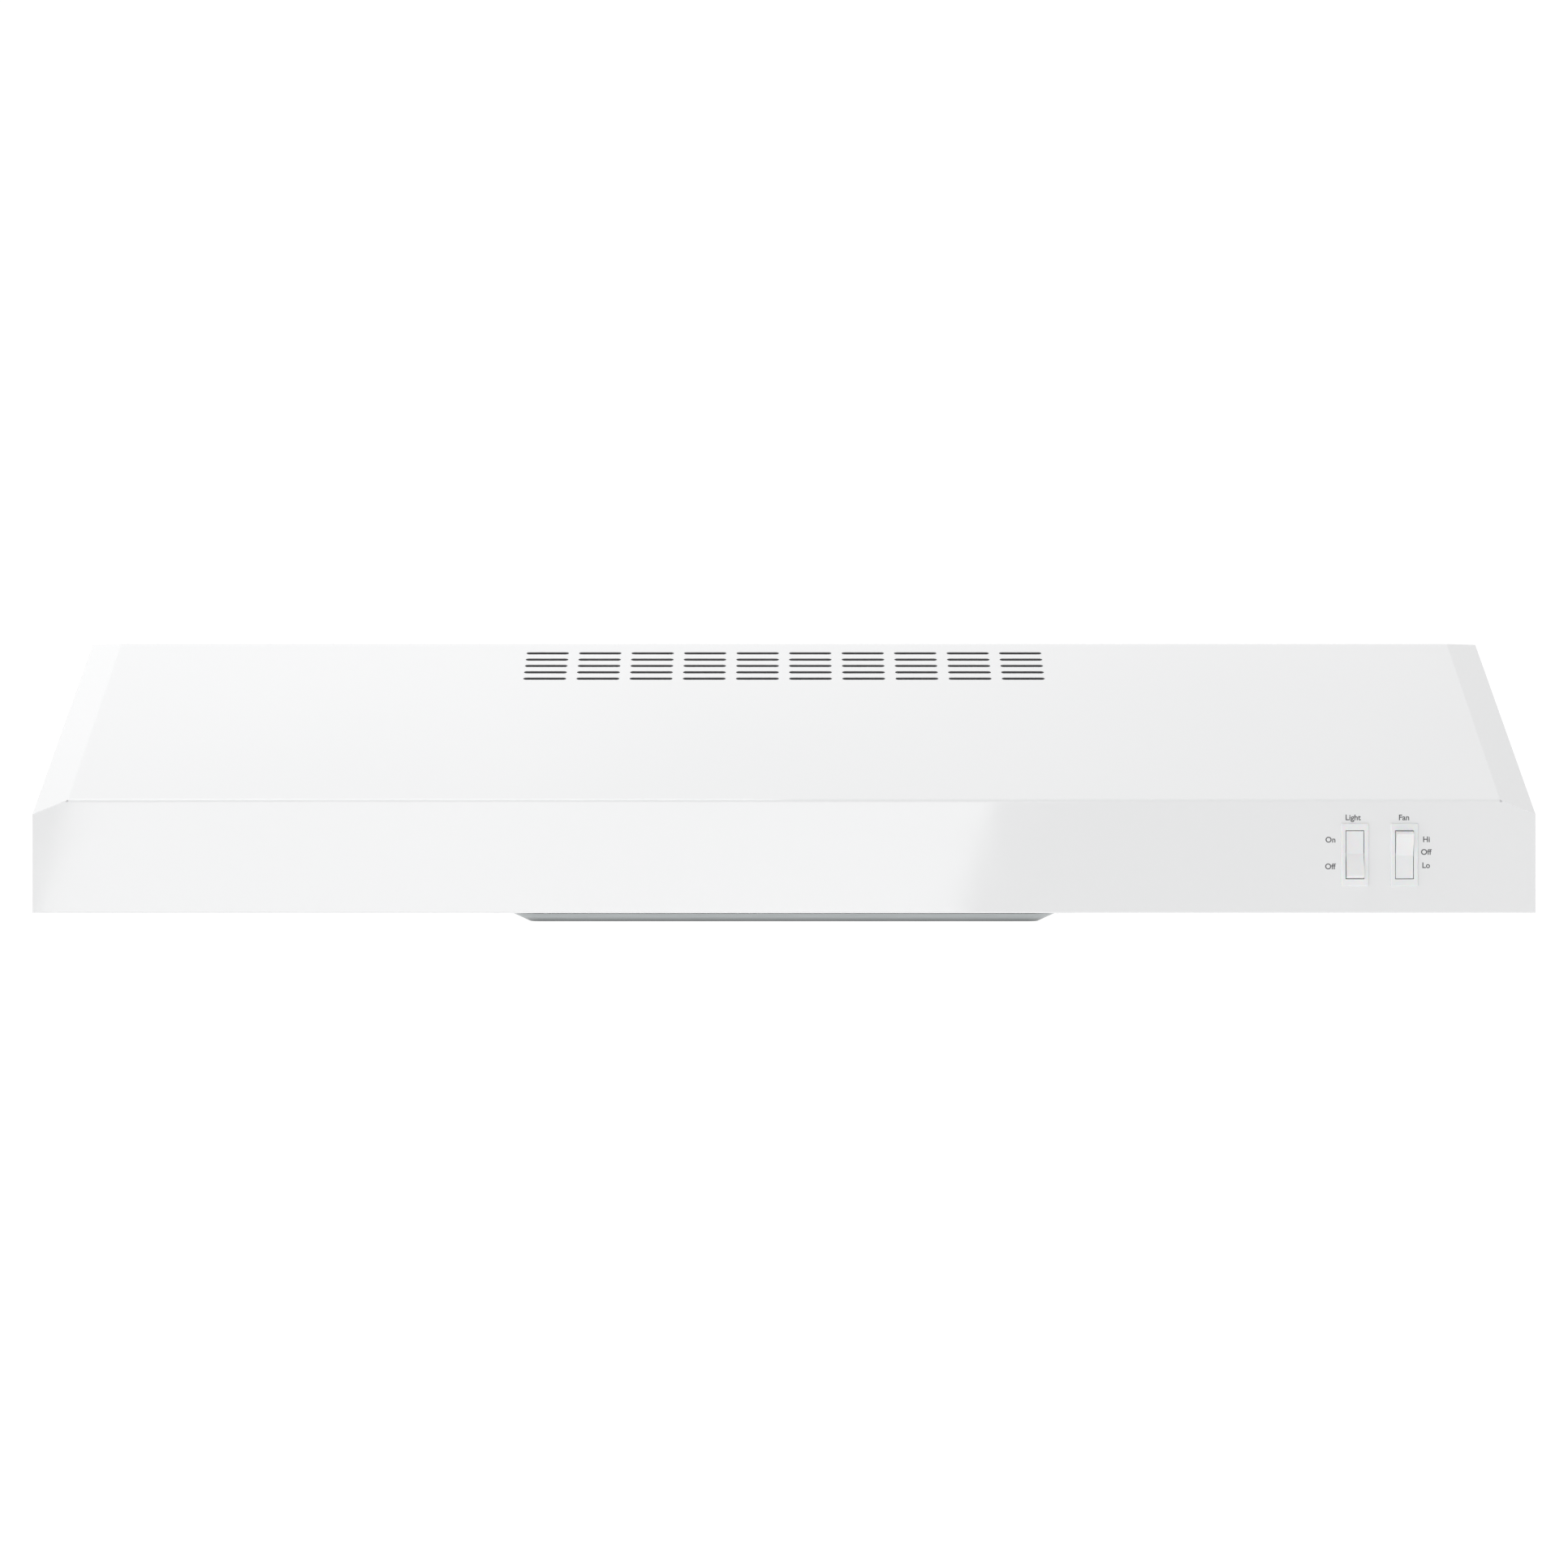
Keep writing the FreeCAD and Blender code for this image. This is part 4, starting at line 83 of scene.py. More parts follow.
def make_floor():
    """Pale floor at the height such a hood hangs over one, seen from above only."""
    mesh = bpy.data.meshes.new("floor")
    signs = ((-1, -1), (1, -1), (1, 1), (-1, 1))
    corners = [(sx * FLOOR_HALF, sy * FLOOR_HALF, FLOOR_Z) for sx, sy in signs]
    mesh.from_pydata(corners, [], [(0, 1, 2, 3)])
    material = bpy.data.materials.new("floor_pale")
    material.use_nodes = True
    tree = material.node_tree
    shader = tree.nodes["Principled BSDF"]
    shader.inputs["Base Color"].default_value = (0.88, 0.88, 0.88, 1)
    shader.inputs["Roughness"].default_value = 0.9
    shader.inputs["Emission Color"].default_value = (1, 1, 1, 1)
    place = tree.nodes.new("ShaderNodeTexCoord")
    split = tree.nodes.new("ShaderNodeSeparateXYZ")
    glow = tree.nodes.new("ShaderNodeMapRange")
    for end, (y, strength) in (("Min", GLOW_NEAR), ("Max", GLOW_FAR)):
        glow.inputs["From " + end].default_value = y
        glow.inputs["To " + end].default_value = strength
    tree.links.new(place.outputs["Object"], split.inputs[0])
    tree.links.new(split.outputs["Y"], glow.inputs["Value"])
    tree.links.new(glow.outputs["Result"], shader.inputs["Emission Strength"])
    clear = tree.nodes.new("ShaderNodeBsdfTransparent")
    side = tree.nodes.new("ShaderNodeNewGeometry")
    mix = tree.nodes.new("ShaderNodeMixShader")
    tree.links.new(side.outputs["Backfacing"], mix.inputs[0])
    tree.links.new(shader.outputs[0], mix.inputs[1])
    tree.links.new(clear.outputs[0], mix.inputs[2])
    tree.links.new(mix.outputs[0], tree.nodes["Material Output"].inputs["Surface"])
    mesh.materials.append(material)
    floor = bpy.data.objects.new("floor", mesh)
    scene.collection.objects.link(floor)


WORLD_BACK = 1.05
WORLD_FRONT_LEFT = 0.80
WORLD_FRONT_RIGHT = 0.44


def make_world():
    """White room: full white behind the object, a little less light from the front, least from the right."""
    world = bpy.data.worlds.new("studio")
    scene.world = world
    world.use_nodes = True
    tree = world.node_tree
    background = tree.nodes["Background"]
    background.inputs["Color"].default_value = (1, 1, 1, 1)
    coord = tree.nodes.new("ShaderNodeTexCoord")
    split = tree.nodes.new("ShaderNodeSeparateXYZ")
    tree.links.new(coord.outputs["Generated"], split.inputs[0])

    def span(source, low, high, to_low, to_high):
        node = tree.nodes.new("ShaderNodeMapRange")
        node.interpolation_type = "SMOOTHSTEP"
        tree.links.new(source, node.inputs["Value"])
        node.inputs["From Min"].default_value = low
        node.inputs["From Max"].default_value = high
        for name, value in (("To Min", to_low), ("To Max", to_high)):
            if isinstance(value, float):
                node.inputs[name].default_value = value
            else:
                tree.links.new(value, node.inputs[name])
        return node.outputs["Result"]

    front = span(split.outputs["X"], -0.8, 0.8, WORLD_FRONT_LEFT, WORLD_FRONT_RIGHT)
    level = span(split.outputs["Y"], -0.2, 0.85, front, WORLD_BACK)
    tree.links.new(level, background.inputs["Strength"])


def area_light(name, spot, size, watts, look_at=None, turn=None):
    """Soft rectangular light, aimed at a point or turned by angles."""
    data = bpy.data.lights.new(name, "AREA")
    data.shape = "RECTANGLE"
    data.size, data.size_y = size
    data.energy = watts
    light = bpy.data.objects.new(name, data)
    light.location = spot
    if look_at is not None:
        light.rotation_euler = (Vector(look_at) - Vector(spot)).to_track_quat("-Z", "Y").to_euler()
    else:
        light.rotation_euler = turn
    scene.collection.objects.link(light)


def make_lights():
    area_light("key_upper_left", spot=(-0.45, -0.2, 1.2), size=(0.9, 0.9), watts=6.5,
               look_at=(-0.3, -0.2, 0.0))
    # The softbox that the lip mirrors: its leaning right edge is the soft diagonal on the lip.
    tilt = math.radians(17)
    face_front = Matrix.Rotation(tilt, 4, "Y") @ Matrix.Rotation(math.pi / 2, 4, "X")
    area_light("front_softbox", spot=(-0.35, -3.84, -0.17), size=(1.155, 1.7), watts=16.0,
               turn=face_front.to_euler())


# ---------------------------------------------------------------- materials

class Shade:
    """One node material: a Principled shader, and the textures that feed it, in object space."""

    def __init__(self, name, **plain):
        self.material = bpy.data.materials.new(name)
        self.material.use_nodes = True
        self.tree = self.material.node_tree
        self.shader = self.tree.nodes["Principled BSDF"]
        for socket, value in plain.items():
            self.shader.inputs[socket.replace("_", " ")].default_value = value
        self.place = self.tree.nodes.new("ShaderNodeTexCoord").outputs["Object"]

    def mapped(self, stretch):
        node = self.tree.nodes.new("ShaderNodeMapping")
        node.inputs["Scale"].default_value = stretch
        self.tree.links.new(self.place, node.inputs["Vector"])
        return node.outputs["Vector"]

    def noise(self, scale, detail=3.0, stretch=(1, 1, 1)):
        node = self.tree.nodes.new("ShaderNodeTexNoise")
        node.inputs["Scale"].default_value = scale
        node.inputs["Detail"].default_value = detail
        self.tree.links.new(self.mapped(stretch), node.inputs["Vector"])
        return node.outputs["Fac"]

    def cells(self, scale, output="Distance"):
        node = self.tree.nodes.new("ShaderNodeTexVoronoi")
        node.inputs["Scale"].default_value = scale
        self.tree.links.new(self.mapped((1, 1, 1)), node.inputs["Vector"])
        return node.outputs[output]

    def waves(self, scale, direction, distortion):
        node = self.tree.nodes.new("ShaderNodeTexWave")
        node.bands_direction = direction
        node.inputs["Scale"].default_value = scale
        node.inputs["Distortion"].default_value = distortion
        self.tree.links.new(self.mapped((1, 1, 1)), node.inputs["Vector"])
        return node.outputs["Fac"]

    def colour(self, source, *stops):
        """Colour of the surface, from (place along the texture, (r, g, b)) stops."""
        ramp = self.tree.nodes.new("ShaderNodeValToRGB")
        elements = ramp.color_ramp.elements
        while len(elements) < len(stops):
            elements.new(0.5)
        for element, (place, shade) in zip(elements, stops):
            element.position = place
            element.color = (*shade, 1)
        self.tree.links.new(source, ramp.inputs["Fac"])
        self.tree.links.new(ramp.outputs["Color"], self.shader.inputs["Base Color"])
        return self

    def paint_shade_below(self, low, high, share):
        """Painted shade: scales the colour already linked towards share of itself from z high down to z low.
        """
        split = self.tree.nodes.new("ShaderNodeSeparateXYZ")
        self.tree.links.new(self.place, split.inputs[0])
        fade = self.tree.nodes.new("ShaderNodeMapRange")
        for name, value in (("From Min", low), ("From Max", high), ("To Min", share), ("To Max", 1.0)):
            fade.inputs[name].default_value = value
        self.tree.links.new(split.outputs["Z"], fade.inputs["Value"])
        scale = self.tree.nodes.new("ShaderNodeVectorMath")
        scale.operation = "SCALE"
        target = self.shader.inputs["Base Color"]
        self.tree.links.new(target.links[0].from_socket, scale.inputs[0])
        self.tree.links.new(fade.outputs["Result"], scale.inputs["Scale"])
        self.tree.links.new(scale.outputs["Vector"], target)

    def tint_inside(self, low, high, shade, lean=0.0):
        """Another colour inside the box from low to high, in object space turned by lean about X."""
        turned = self.tree.nodes.new("ShaderNodeMapping")
        turned.inputs["Rotation"].default_value = (-lean, 0, 0)
        self.tree.links.new(self.place, turned.inputs["Vector"])
        # Distance from the box's middle along each axis, as a share of the box's half size.
        source = turned.outputs[0]
        middle, half = (low + high) / 2, (high - low) / 2
        for operation, value in (("SUBTRACT", middle), ("ABSOLUTE", None), ("DIVIDE", half)):
            node = self.tree.nodes.new("ShaderNodeVectorMath")
            node.operation = operation
            if value is not None:
                node.inputs[1].default_value = value
            self.tree.links.new(source, node.inputs[0])
            source = node.outputs[0]
        split = self.tree.nodes.new("ShaderNodeSeparateXYZ")
        self.tree.links.new(source, split.inputs[0])
        source = split.outputs["X"]
        for other in (split.outputs["Y"], split.outputs["Z"]):
            node = self.tree.nodes.new("ShaderNodeMath")
            node.operation = "MAXIMUM"
            self.tree.links.new(source, node.inputs[0])
            self.tree.links.new(other, node.inputs[1])
            source = node.outputs[0]
        node = self.tree.nodes.new("ShaderNodeMath")
        node.operation = "LESS_THAN"
        node.inputs[1].default_value = 1.0
        self.tree.links.new(source, node.inputs[0])
        source = node.outputs[0]
        mix = self.tree.nodes.new("ShaderNodeMix")
        mix.data_type = "RGBA"
        target = self.shader.inputs["Base Color"]
        self.tree.links.new(source, mix.inputs["Factor"])
        self.tree.links.new(target.links[0].from_socket, mix.inputs["A"])
        mix.inputs["B"].default_value = (*shade, 1)
        self.tree.links.new(mix.outputs["Result"], target)

    def rough(self, source, low, high):
        """Roughness from low to high, over the range that a noise texture mostly stays in."""
        node = self.tree.nodes.new("ShaderNodeMapRange")
        node.inputs["From Min"].default_value = 0.3
        node.inputs["From Max"].default_value = 0.7
        node.inputs["To Min"].default_value = low
        node.inputs["To Max"].default_value = high
        self.tree.links.new(source, node.inputs["Value"])
        self.tree.links.new(node.outputs["Result"], self.shader.inputs["Roughness"])
        return self

    def bump(self, source, height_mm, strength=1.0):
        node = self.tree.nodes.new("ShaderNodeBump")
        node.inputs["Distance"].default_value = height_mm * MM
        node.inputs["Strength"].default_value = strength
        self.tree.links.new(source, node.inputs["Height"])
        last = self.shader.inputs["Normal"]
        if last.is_linked:
            self.tree.links.new(last.links[0].from_socket, node.inputs["Normal"])
        self.tree.links.new(node.outputs["Normal"], last)
        return self


def around(shade, spread):
    """A shade a little darker and a little lighter than the one given."""
    return [tuple(min(1.0, c * k) for c in shade) for k in (1 - spread, 1 + spread)]


def moulded(name, shade, low=0.22, high=0.34, grain_mm=0.01, **plain):
    """Moulded plastic, rubber or ceramic: faint clouding and a fine grain."""
    s = Shade(name, **plain)
    dark, light = around(shade, 0.025)
    s.colour(s.noise(35), (0.3, dark), (0.7, light))
    s.rough(s.noise(160), low, high)
    return s.bump(s.noise(900, 2.0), grain_mm, 0.35)


def metal(name, shade, low, high, spread, scale, grain_mm=0.01):
    """Plain metal: patches a little darker and lighter, roughness from low to high, and a fine grain."""
    s = Shade(name, Metallic=1.0)
    dark, light = around(shade, spread)
    s.colour(s.noise(scale, 4.0), (0.3, dark), (0.7, light))
    s.rough(s.noise(scale * 2.3), low, high)
    return s.bump(s.noise(scale * 9, 2.0), grain_mm, 0.3)


SLOPE_RUN = 176.5 * MM
SLOPE_RISE = 84.4 * MM
FOLD_Y = -163.3 * MM
SLOTTED_RUN = 60 * MM
SKIN_FROM, SKIN_TO = 0.12 * MM, 1.2 * MM
PLENUM_X = 157.9
PLENUM_LOW = Vector((-PLENUM_X, -163.4, -95.0)) * MM
PLENUM_HIGH = Vector((PLENUM_X, 164.6, -0.4)) * MM
SHADE_AND_BARE_EDGE_GREY = (0.20, 0.20, 0.205)


def enamel():
    """White gloss enamel. Painted shade: grey inside the fan box. Grey too on the slots' cut edges and the
    slope's inside behind them: partly bare steel edges, partly painted shade.
    """
    s = Shade("white_enamel", IOR=1.5)
    s.colour(s.noise(4, 1.0), (0.3, (0.858, 0.862, 0.866)), (0.7, (0.874, 0.876, 0.880)))
    # Painted shade: the inside of the fan box is grey, standing in for the shadow behind the slots.
    s.tint_inside(PLENUM_LOW, PLENUM_HIGH, SHADE_AND_BARE_EDGE_GREY)
    # The slots' cut edges and the slope's inside behind them, grey as partly bare steel and partly painted
    # shade: a box turned with the slope, just under its skin.
    lean = math.atan2(SLOPE_RISE, SLOPE_RUN)
    along = FOLD_Y * math.cos(lean)
    skin = -FOLD_Y * math.sin(lean)
    low = Vector((-PLENUM_X * MM, along - SLOTTED_RUN, skin - SKIN_TO))
    high = Vector((PLENUM_X * MM, along, skin - SKIN_FROM))
    s.tint_inside(low, high, SHADE_AND_BARE_EDGE_GREY, lean)
    s.rough(s.noise(45), 0.035, 0.065)
    return s.bump(s.noise(240, 1.0), 0.012, 0.12)


def galvanised():
    """Zinc coated sheet with a faint spangle."""
    s = Shade("galvanised_steel", Metallic=1.0)
    spangle = s.cells(150, output="Color")
    s.colour(spangle, (0.15, (0.47, 0.49, 0.51)), (0.5, (0.51, 0.53, 0.55)), (0.85, (0.56, 0.58, 0.59)))
    s.rough(spangle, 0.38, 0.48)
    return s.bump(s.noise(500, 3.0), 0.01, 0.3)


def brushed():
    """Drawn aluminium, brushed along X, with painted shade darkening the tray's lowest edge and underside."""
    s = Shade("aluminium_sheet", Metallic=1.0)
    lines = (0.04, 1, 1)
    s.colour(s.noise(1500, 3.0, lines), (0.3, (0.36, 0.385, 0.39)), (0.7, (0.43, 0.455, 0.46)))
    # Painted shade on the rolled lower edge and underside of the tray.
    s.paint_shade_below(-151.2 * MM, -149.0 * MM, 0.32)
    s.rough(s.noise(1100, 3.0, lines), 0.28, 0.42)
    return s.bump(s.noise(2000, 2.0, lines), 0.01, 0.3)


def laminated():
    """Stack of 0.5 mm electrical steel sheets, seen edge on."""
    s = Shade("lamination_steel", Metallic=0.9)
    sheets = s.waves(314, "Z", 0.2)
    s.colour(sheets, (0.05, (0.10, 0.10, 0.11)), (0.35, (0.33, 0.34, 0.36)), (0.8, (0.42, 0.43, 0.45)))
    s.rough(s.noise(180), 0.38, 0.55)
    return s.bump(sheets, 0.08, 0.6)


def winding():
    """Enamelled copper wire."""
    s = Shade("winding", Metallic=0.75)
    s.colour(s.noise(300, 3.0, (3, 1, 1)), (0.3, (0.42, 0.14, 0.045)), (0.7, (0.60, 0.24, 0.08)))
    return s.rough(s.noise(400), 0.22, 0.38)


def foam():
    """Open cell foam: small dark pores."""
    s = Shade("grey_foam")
    pores = s.cells(1300)
    s.colour(pores, (0.1, (0.16, 0.17, 0.18)), (0.6, (0.31, 0.32, 0.33)))
    s.rough(s.noise(300), 0.85, 0.98)
    return s.bump(pores, 0.25, 0.8)


def frosted_glass():
    s = Shade("bulb_glass", Transmission_Weight=0.18, IOR=1.5)
    s.colour(s.noise(60), (0.3, (0.90, 0.90, 0.89)), (0.7, (0.94, 0.94, 0.93)))
    return s.rough(s.noise(300), 0.30, 0.42)


def lens_plastic():
    s = Shade("lens_plastic", Transmission_Weight=0.45, IOR=1.49)
    s.colour(s.noise(40), (0.3, (0.90, 0.91, 0.91)), (0.7, (0.95, 0.955, 0.955)))
    s.rough(s.noise(30), 0.34, 0.42)
    return s.bump(s.noise(90, 2.0), 0.006, 0.2)


def insulation(name, shade):
    return moulded(name, shade, 0.32, 0.44, 0.006)


def make_paint():
    made = {
        "white_enamel": enamel(),
        "galvanised_steel": galvanised(),
        "aluminium_sheet": brushed(),
        "aluminium_mesh": metal("aluminium_mesh", (0.72, 0.73, 0.74), 0.26, 0.42, 0.07, 220),
        "lens_plastic": lens_plastic(),
        "bulb_glass": frosted_glass(),
        "bulb_metal": metal("bulb_metal", (0.74, 0.71, 0.64), 0.20, 0.34, 0.05, 180),
        "porcelain": moulded("porcelain", (0.86, 0.85, 0.81), 0.10, 0.20, 0.01),
        "plated_steel": metal("plated_steel", (0.66, 0.68, 0.70), 0.20, 0.36, 0.07, 260),
        "lamination_steel": laminated(),
        "winding": winding(),
        "sintered_bronze": metal("sintered_bronze", (0.52, 0.36, 0.20), 0.40, 0.58, 0.12, 500, grain_mm=0.03),
        "black_rubber": moulded("black_rubber", (0.025, 0.025, 0.027), 0.55, 0.75, 0.02),
        "grey_foam": foam(),
        "fan_plastic": moulded("fan_plastic", (0.50, 0.51, 0.52), 0.30, 0.42),
        "white_plastic": moulded("white_plastic", (0.865, 0.868, 0.872), 0.16, 0.24, 0.006,
                                 Subsurface_Weight=0.3, Subsurface_Scale=0.0015),
        "nylon": moulded("nylon", (0.80, 0.79, 0.74), 0.35, 0.5, 0.01, Transmission_Weight=0.08),
        "brass_blade": metal("brass_blade", (0.72, 0.55, 0.27), 0.22, 0.36, 0.07, 300),
        "wire_insulation": insulation("wire_insulation", (0.03, 0.03, 0.03)),
        "ground_green": metal("ground_green", (0.06, 0.30, 0.12), 0.25, 0.4, 0.08, 260),
        "legend_ink": moulded("legend_ink", (0.11, 0.11, 0.115), 0.5, 0.6, 0.004),
    }
    return {name: shade.material for name, shade in made.items()}


def paint_nodes():
    for row in frame["record"]["subparts"]:
        mesh = nodes[row["node"]].data
        mesh.materials.clear()
        mesh.materials.append(paint[row["material_slot"]])


# ---------------------------------------------------------------- mesh tools

def outward(verts, faces):
    """The faces of a closed mesh, all turned over if they look inward."""
    near = [Vector([value - start for value, start in zip(vert, verts[0])]) for vert in verts]
    volume = 0.0
    for face in faces:
        for b, c in zip(face[1:-1], face[2:]):
            volume += near[face[0]].dot(near[b].cross(near[c]))
    return faces if volume > 0 else [tuple(face)[::-1] for face in faces]


def add_piece(name, verts, faces, slot_name, body, *replaced, look=None, smooth=40):
    """A Blender piece riding on a body. Edges up to smooth degrees are shaded smooth."""
    mesh = bpy.data.meshes.new(name)
    mesh.from_pydata(verts, [], outward(verts, faces))
    mesh.validate()
    mesh.materials.append(paint[look or slot_name])
    mesh.polygons.foreach_set("use_smooth", [smooth > 0] * len(mesh.polygons))
    if smooth > 0:
        mesh.set_sharp_from_angle(angle=math.radians(smooth))
    piece = bpy.data.objects.new(name, mesh)
    scene.collection.objects.link(piece)
    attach(piece, body)
    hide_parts(*replaced)
    return piece


def rings_to_mesh(rings, closed=False):
    """Skin over rings of equal length. A one-point ring is a pole; closed joins the last to the first."""
    verts, starts = [], []
    for ring in rings:
        starts.append(len(verts))
        verts.extend(ring)
    faces = []
    pairs = list(range(len(rings) - 1)) + ([len(rings) - 1] if closed else [])
    for i in pairs:
        j = (i + 1) % len(rings)
        a, b = starts[i], starts[j]
        count = max(len(rings[i]), len(rings[j]))
        for k in range(count):
            n = (k + 1) % count
            if len(rings[i]) == 1:
                faces.append((a, b + n, b + k))
            elif len(rings[j]) == 1:
                faces.append((a + k, a + n, b))
            else:
                faces.append((a + k, a + n, b + n, b + k))
    return verts, faces


def circle_ring(height, radius, count, wobble=None):
    """Ring round +Z at a height; wobble(angle) adds to the radius."""
    if radius == 0:
        return [(0.0, 0.0, height)]
    ring = []
    for k in range(count):
        angle = 2 * math.pi * k / count
        r = radius + (wobble(angle) if wobble else 0)
        ring.append((r * math.cos(angle), r * math.sin(angle), height))
    return ring


def moved(verts, matrix):
    return [tuple(matrix @ Vector(v)) for v in verts]


def islands(mesh):
    """Polygon indices of each separate lump of a mesh, its split edges counted as joined."""
    keys = {}
    spot = [keys.setdefault(tuple(round(c * 1e6) for c in v.co), len(keys)) for v in mesh.vertices]
    leader = list(range(len(keys)))

    def lead(i):
        while leader[i] != i:
            leader[i] = leader[leader[i]]
            i = leader[i]
        return i

    for polygon in mesh.polygons:
        for v in polygon.vertices[1:]:
            leader[lead(spot[v])] = lead(spot[polygon.vertices[0]])
    lumps = {}
    for polygon in mesh.polygons:
        lumps.setdefault(lead(spot[polygon.vertices[0]]), []).append(polygon.index)
    return sorted(lumps.values())


# ---------------------------------------------------------------- screws

SCREW_SIDES = 28
HEAD_STEPS = 13
DOME_SHARE = 0.62
FIRST_TWIST, NEXT_TWIST = 0.7, 1.9
THREAD_PITCH = 0.9 * MM
POINT_LENGTH = 1.5 * MM
CROSS_HALF = 0.5 * MM
CROSS_REACH = 2.1 * MM
CROSS_DEPTH = 1.2 * MM


def screw_mesh(head_r, head_h, shank_r, length):
    """Pan head with a cross recess on a threaded shank, head top at z 0, shank down."""
    def dome(r):
        return -head_h * (1 - (1 - (r / head_r) ** 4) ** 0.5) * DOME_SHARE

    def recess(x, y):
        arm = min(abs(x), abs(y)) / CROSS_HALF
        reach = max(abs(x), abs(y)) / CROSS_REACH
        if arm >= 1 or reach >= 1:
            return 0.0
        return -CROSS_DEPTH * (1 - arm ** 3) * (1 - reach ** 4)

    rings = [[(0.0, 0.0, recess(0, 0))]]
    for i in range(1, HEAD_STEPS + 1):
        r = head_r * (1 - (1 - i / HEAD_STEPS) ** 1.15)
        flat = circle_ring(0, r, SCREW_SIDES)
        rings.append([(x, y, dome(r) + recess(x, y)) for x, y, _ in flat])
    rings.append(circle_ring(-head_h, head_r, SCREW_SIDES))
    rings.append(circle_ring(-head_h, shank_r, SCREW_SIDES))
    turns = max(1, int((length - head_h - POINT_LENGTH) / THREAD_PITCH))
    for i in range(turns):
        top = -head_h - (i + 0.5) * THREAD_PITCH
        rings.append(circle_ring(top, shank_r * 0.82, SCREW_SIDES))
        rings.append(circle_ring(top - THREAD_PITCH / 2, shank_r, SCREW_SIDES))
    rings.append(circle_ring(-length, shank_r * 0.55, SCREW_SIDES))
    rings.append([(0.0, 0.0, -length)])
    return rings_to_mesh(rings[::-1])


def measure_screw(points):
    """Where a CAD screw's head is and how it points, from its own corners."""
    low = [min(p[k] for p in points) for k in range(3)]
    high = [max(p[k] for p in points) for k in range(3)]
    size = [high[k] - low[k] for k in range(3)]
    axis = min(range(3), key=lambda k: abs(size[(k + 1) % 3] - size[(k + 2) % 3]))
    u, v = (axis + 1) % 3, (axis + 2) % 3
    mid_u, mid_v = (low[u] + high[u]) / 2, (low[v] + high[v]) / 2
    head_r = (size[u] + size[v]) / 4
    wide = [p[axis] for p in points if math.hypot(p[u] - mid_u, p[v] - mid_v) > 0.85 * head_r]
    up = 1 if sum(wide) / len(wide) > (low[axis] + high[axis]) / 2 else -1
    top = high[axis] if up > 0 else low[axis]
    tail = low[axis] if up > 0 else high[axis]
    head_base = min(wide) if up > 0 else max(wide)
    slim = [math.hypot(p[u] - mid_u, p[v] - mid_v) for p in points if abs(p[axis] - tail) < 0.1 * MM]
    spot = Vector((0, 0, 0))
    spot[axis], spot[u], spot[v] = top, mid_u, mid_v
    facing = Vector((0, 0, 0))
    facing[axis] = up
    return spot, facing, head_r, abs(top - head_base), max(slim), size[axis]


def detail_screws(node, slot_name):
    """Replaces a node's plain screws by detailed ones in the same places, each turned its own way."""
    mesh = nodes[node].data
    verts, faces = [], []
    for number, lump in enumerate(islands(mesh)):
        points = [mesh.vertices[v].co for i in lump for v in mesh.polygons[i].vertices]
        spot, facing, head_r, head_h, shank_r, length = measure_screw(points)
        own, skin = screw_mesh(head_r, head_h, shank_r, length)
        twist = Matrix.Rotation(FIRST_TWIST + NEXT_TWIST * number, 4, "Z")
        turn = facing.to_track_quat("Z", "Y").to_matrix().to_4x4()
        start = len(verts)
        verts += moved(own, Matrix.Translation(spot) @ turn @ twist)
        faces += [tuple(start + v for v in face) for face in skin]
    add_piece(node + "_detail", verts, faces, slot_name, "hood", node)


# ---------------------------------------------------------------- lamp

LAMP_Y = -129 * MM
LAMP_Z = -121.5 * MM
LAMP_SIDES = 64


def lamp_place():
    """Puts a shape made round +Z on the lamp's axis, which runs along +X."""
    return Matrix.Translation((0, LAMP_Y, LAMP_Z)) @ Matrix.Rotation(math.pi / 2, 4, "Y")


def make_bulb():
    """Ball and neck, joined where the neck's line touches the ball, with a slight dip along the neck."""
    ball_x, ball_r, neck_x, neck_r = -5 * MM, 20 * MM, 46 * MM, 12.6 * MM
    reach = math.hypot(neck_x - ball_x, neck_r)
    touch = math.atan2(neck_r, neck_x - ball_x) + math.acos(ball_r / reach)
    rings = [[(0.0, 0.0, ball_x - ball_r)]]
    ball_steps, neck_steps = 26, 8
    for i in range(1, ball_steps + 1):
        angle = math.pi + (touch - math.pi) * i / ball_steps
        rings.append(circle_ring(ball_x + ball_r * math.cos(angle), ball_r * math.sin(angle), LAMP_SIDES))
    start_x, start_r = ball_x + ball_r * math.cos(touch), ball_r * math.sin(touch)
    for i in range(1, neck_steps + 1):
        t = i / neck_steps
        dip = 0.5 * MM * math.sin(math.pi * t)
        radius = start_r + (neck_r - start_r) * t - dip
        rings.append(circle_ring(start_x + (neck_x - start_x) * t, radius, LAMP_SIDES))
    rings.append([(0.0, 0.0, neck_x)])
    verts, faces = rings_to_mesh(rings)
    add_piece("lamp_bulb_envelope", moved(verts, lamp_place()), faces,
              "bulb_glass", "hood", "lamp_bulb_glass")


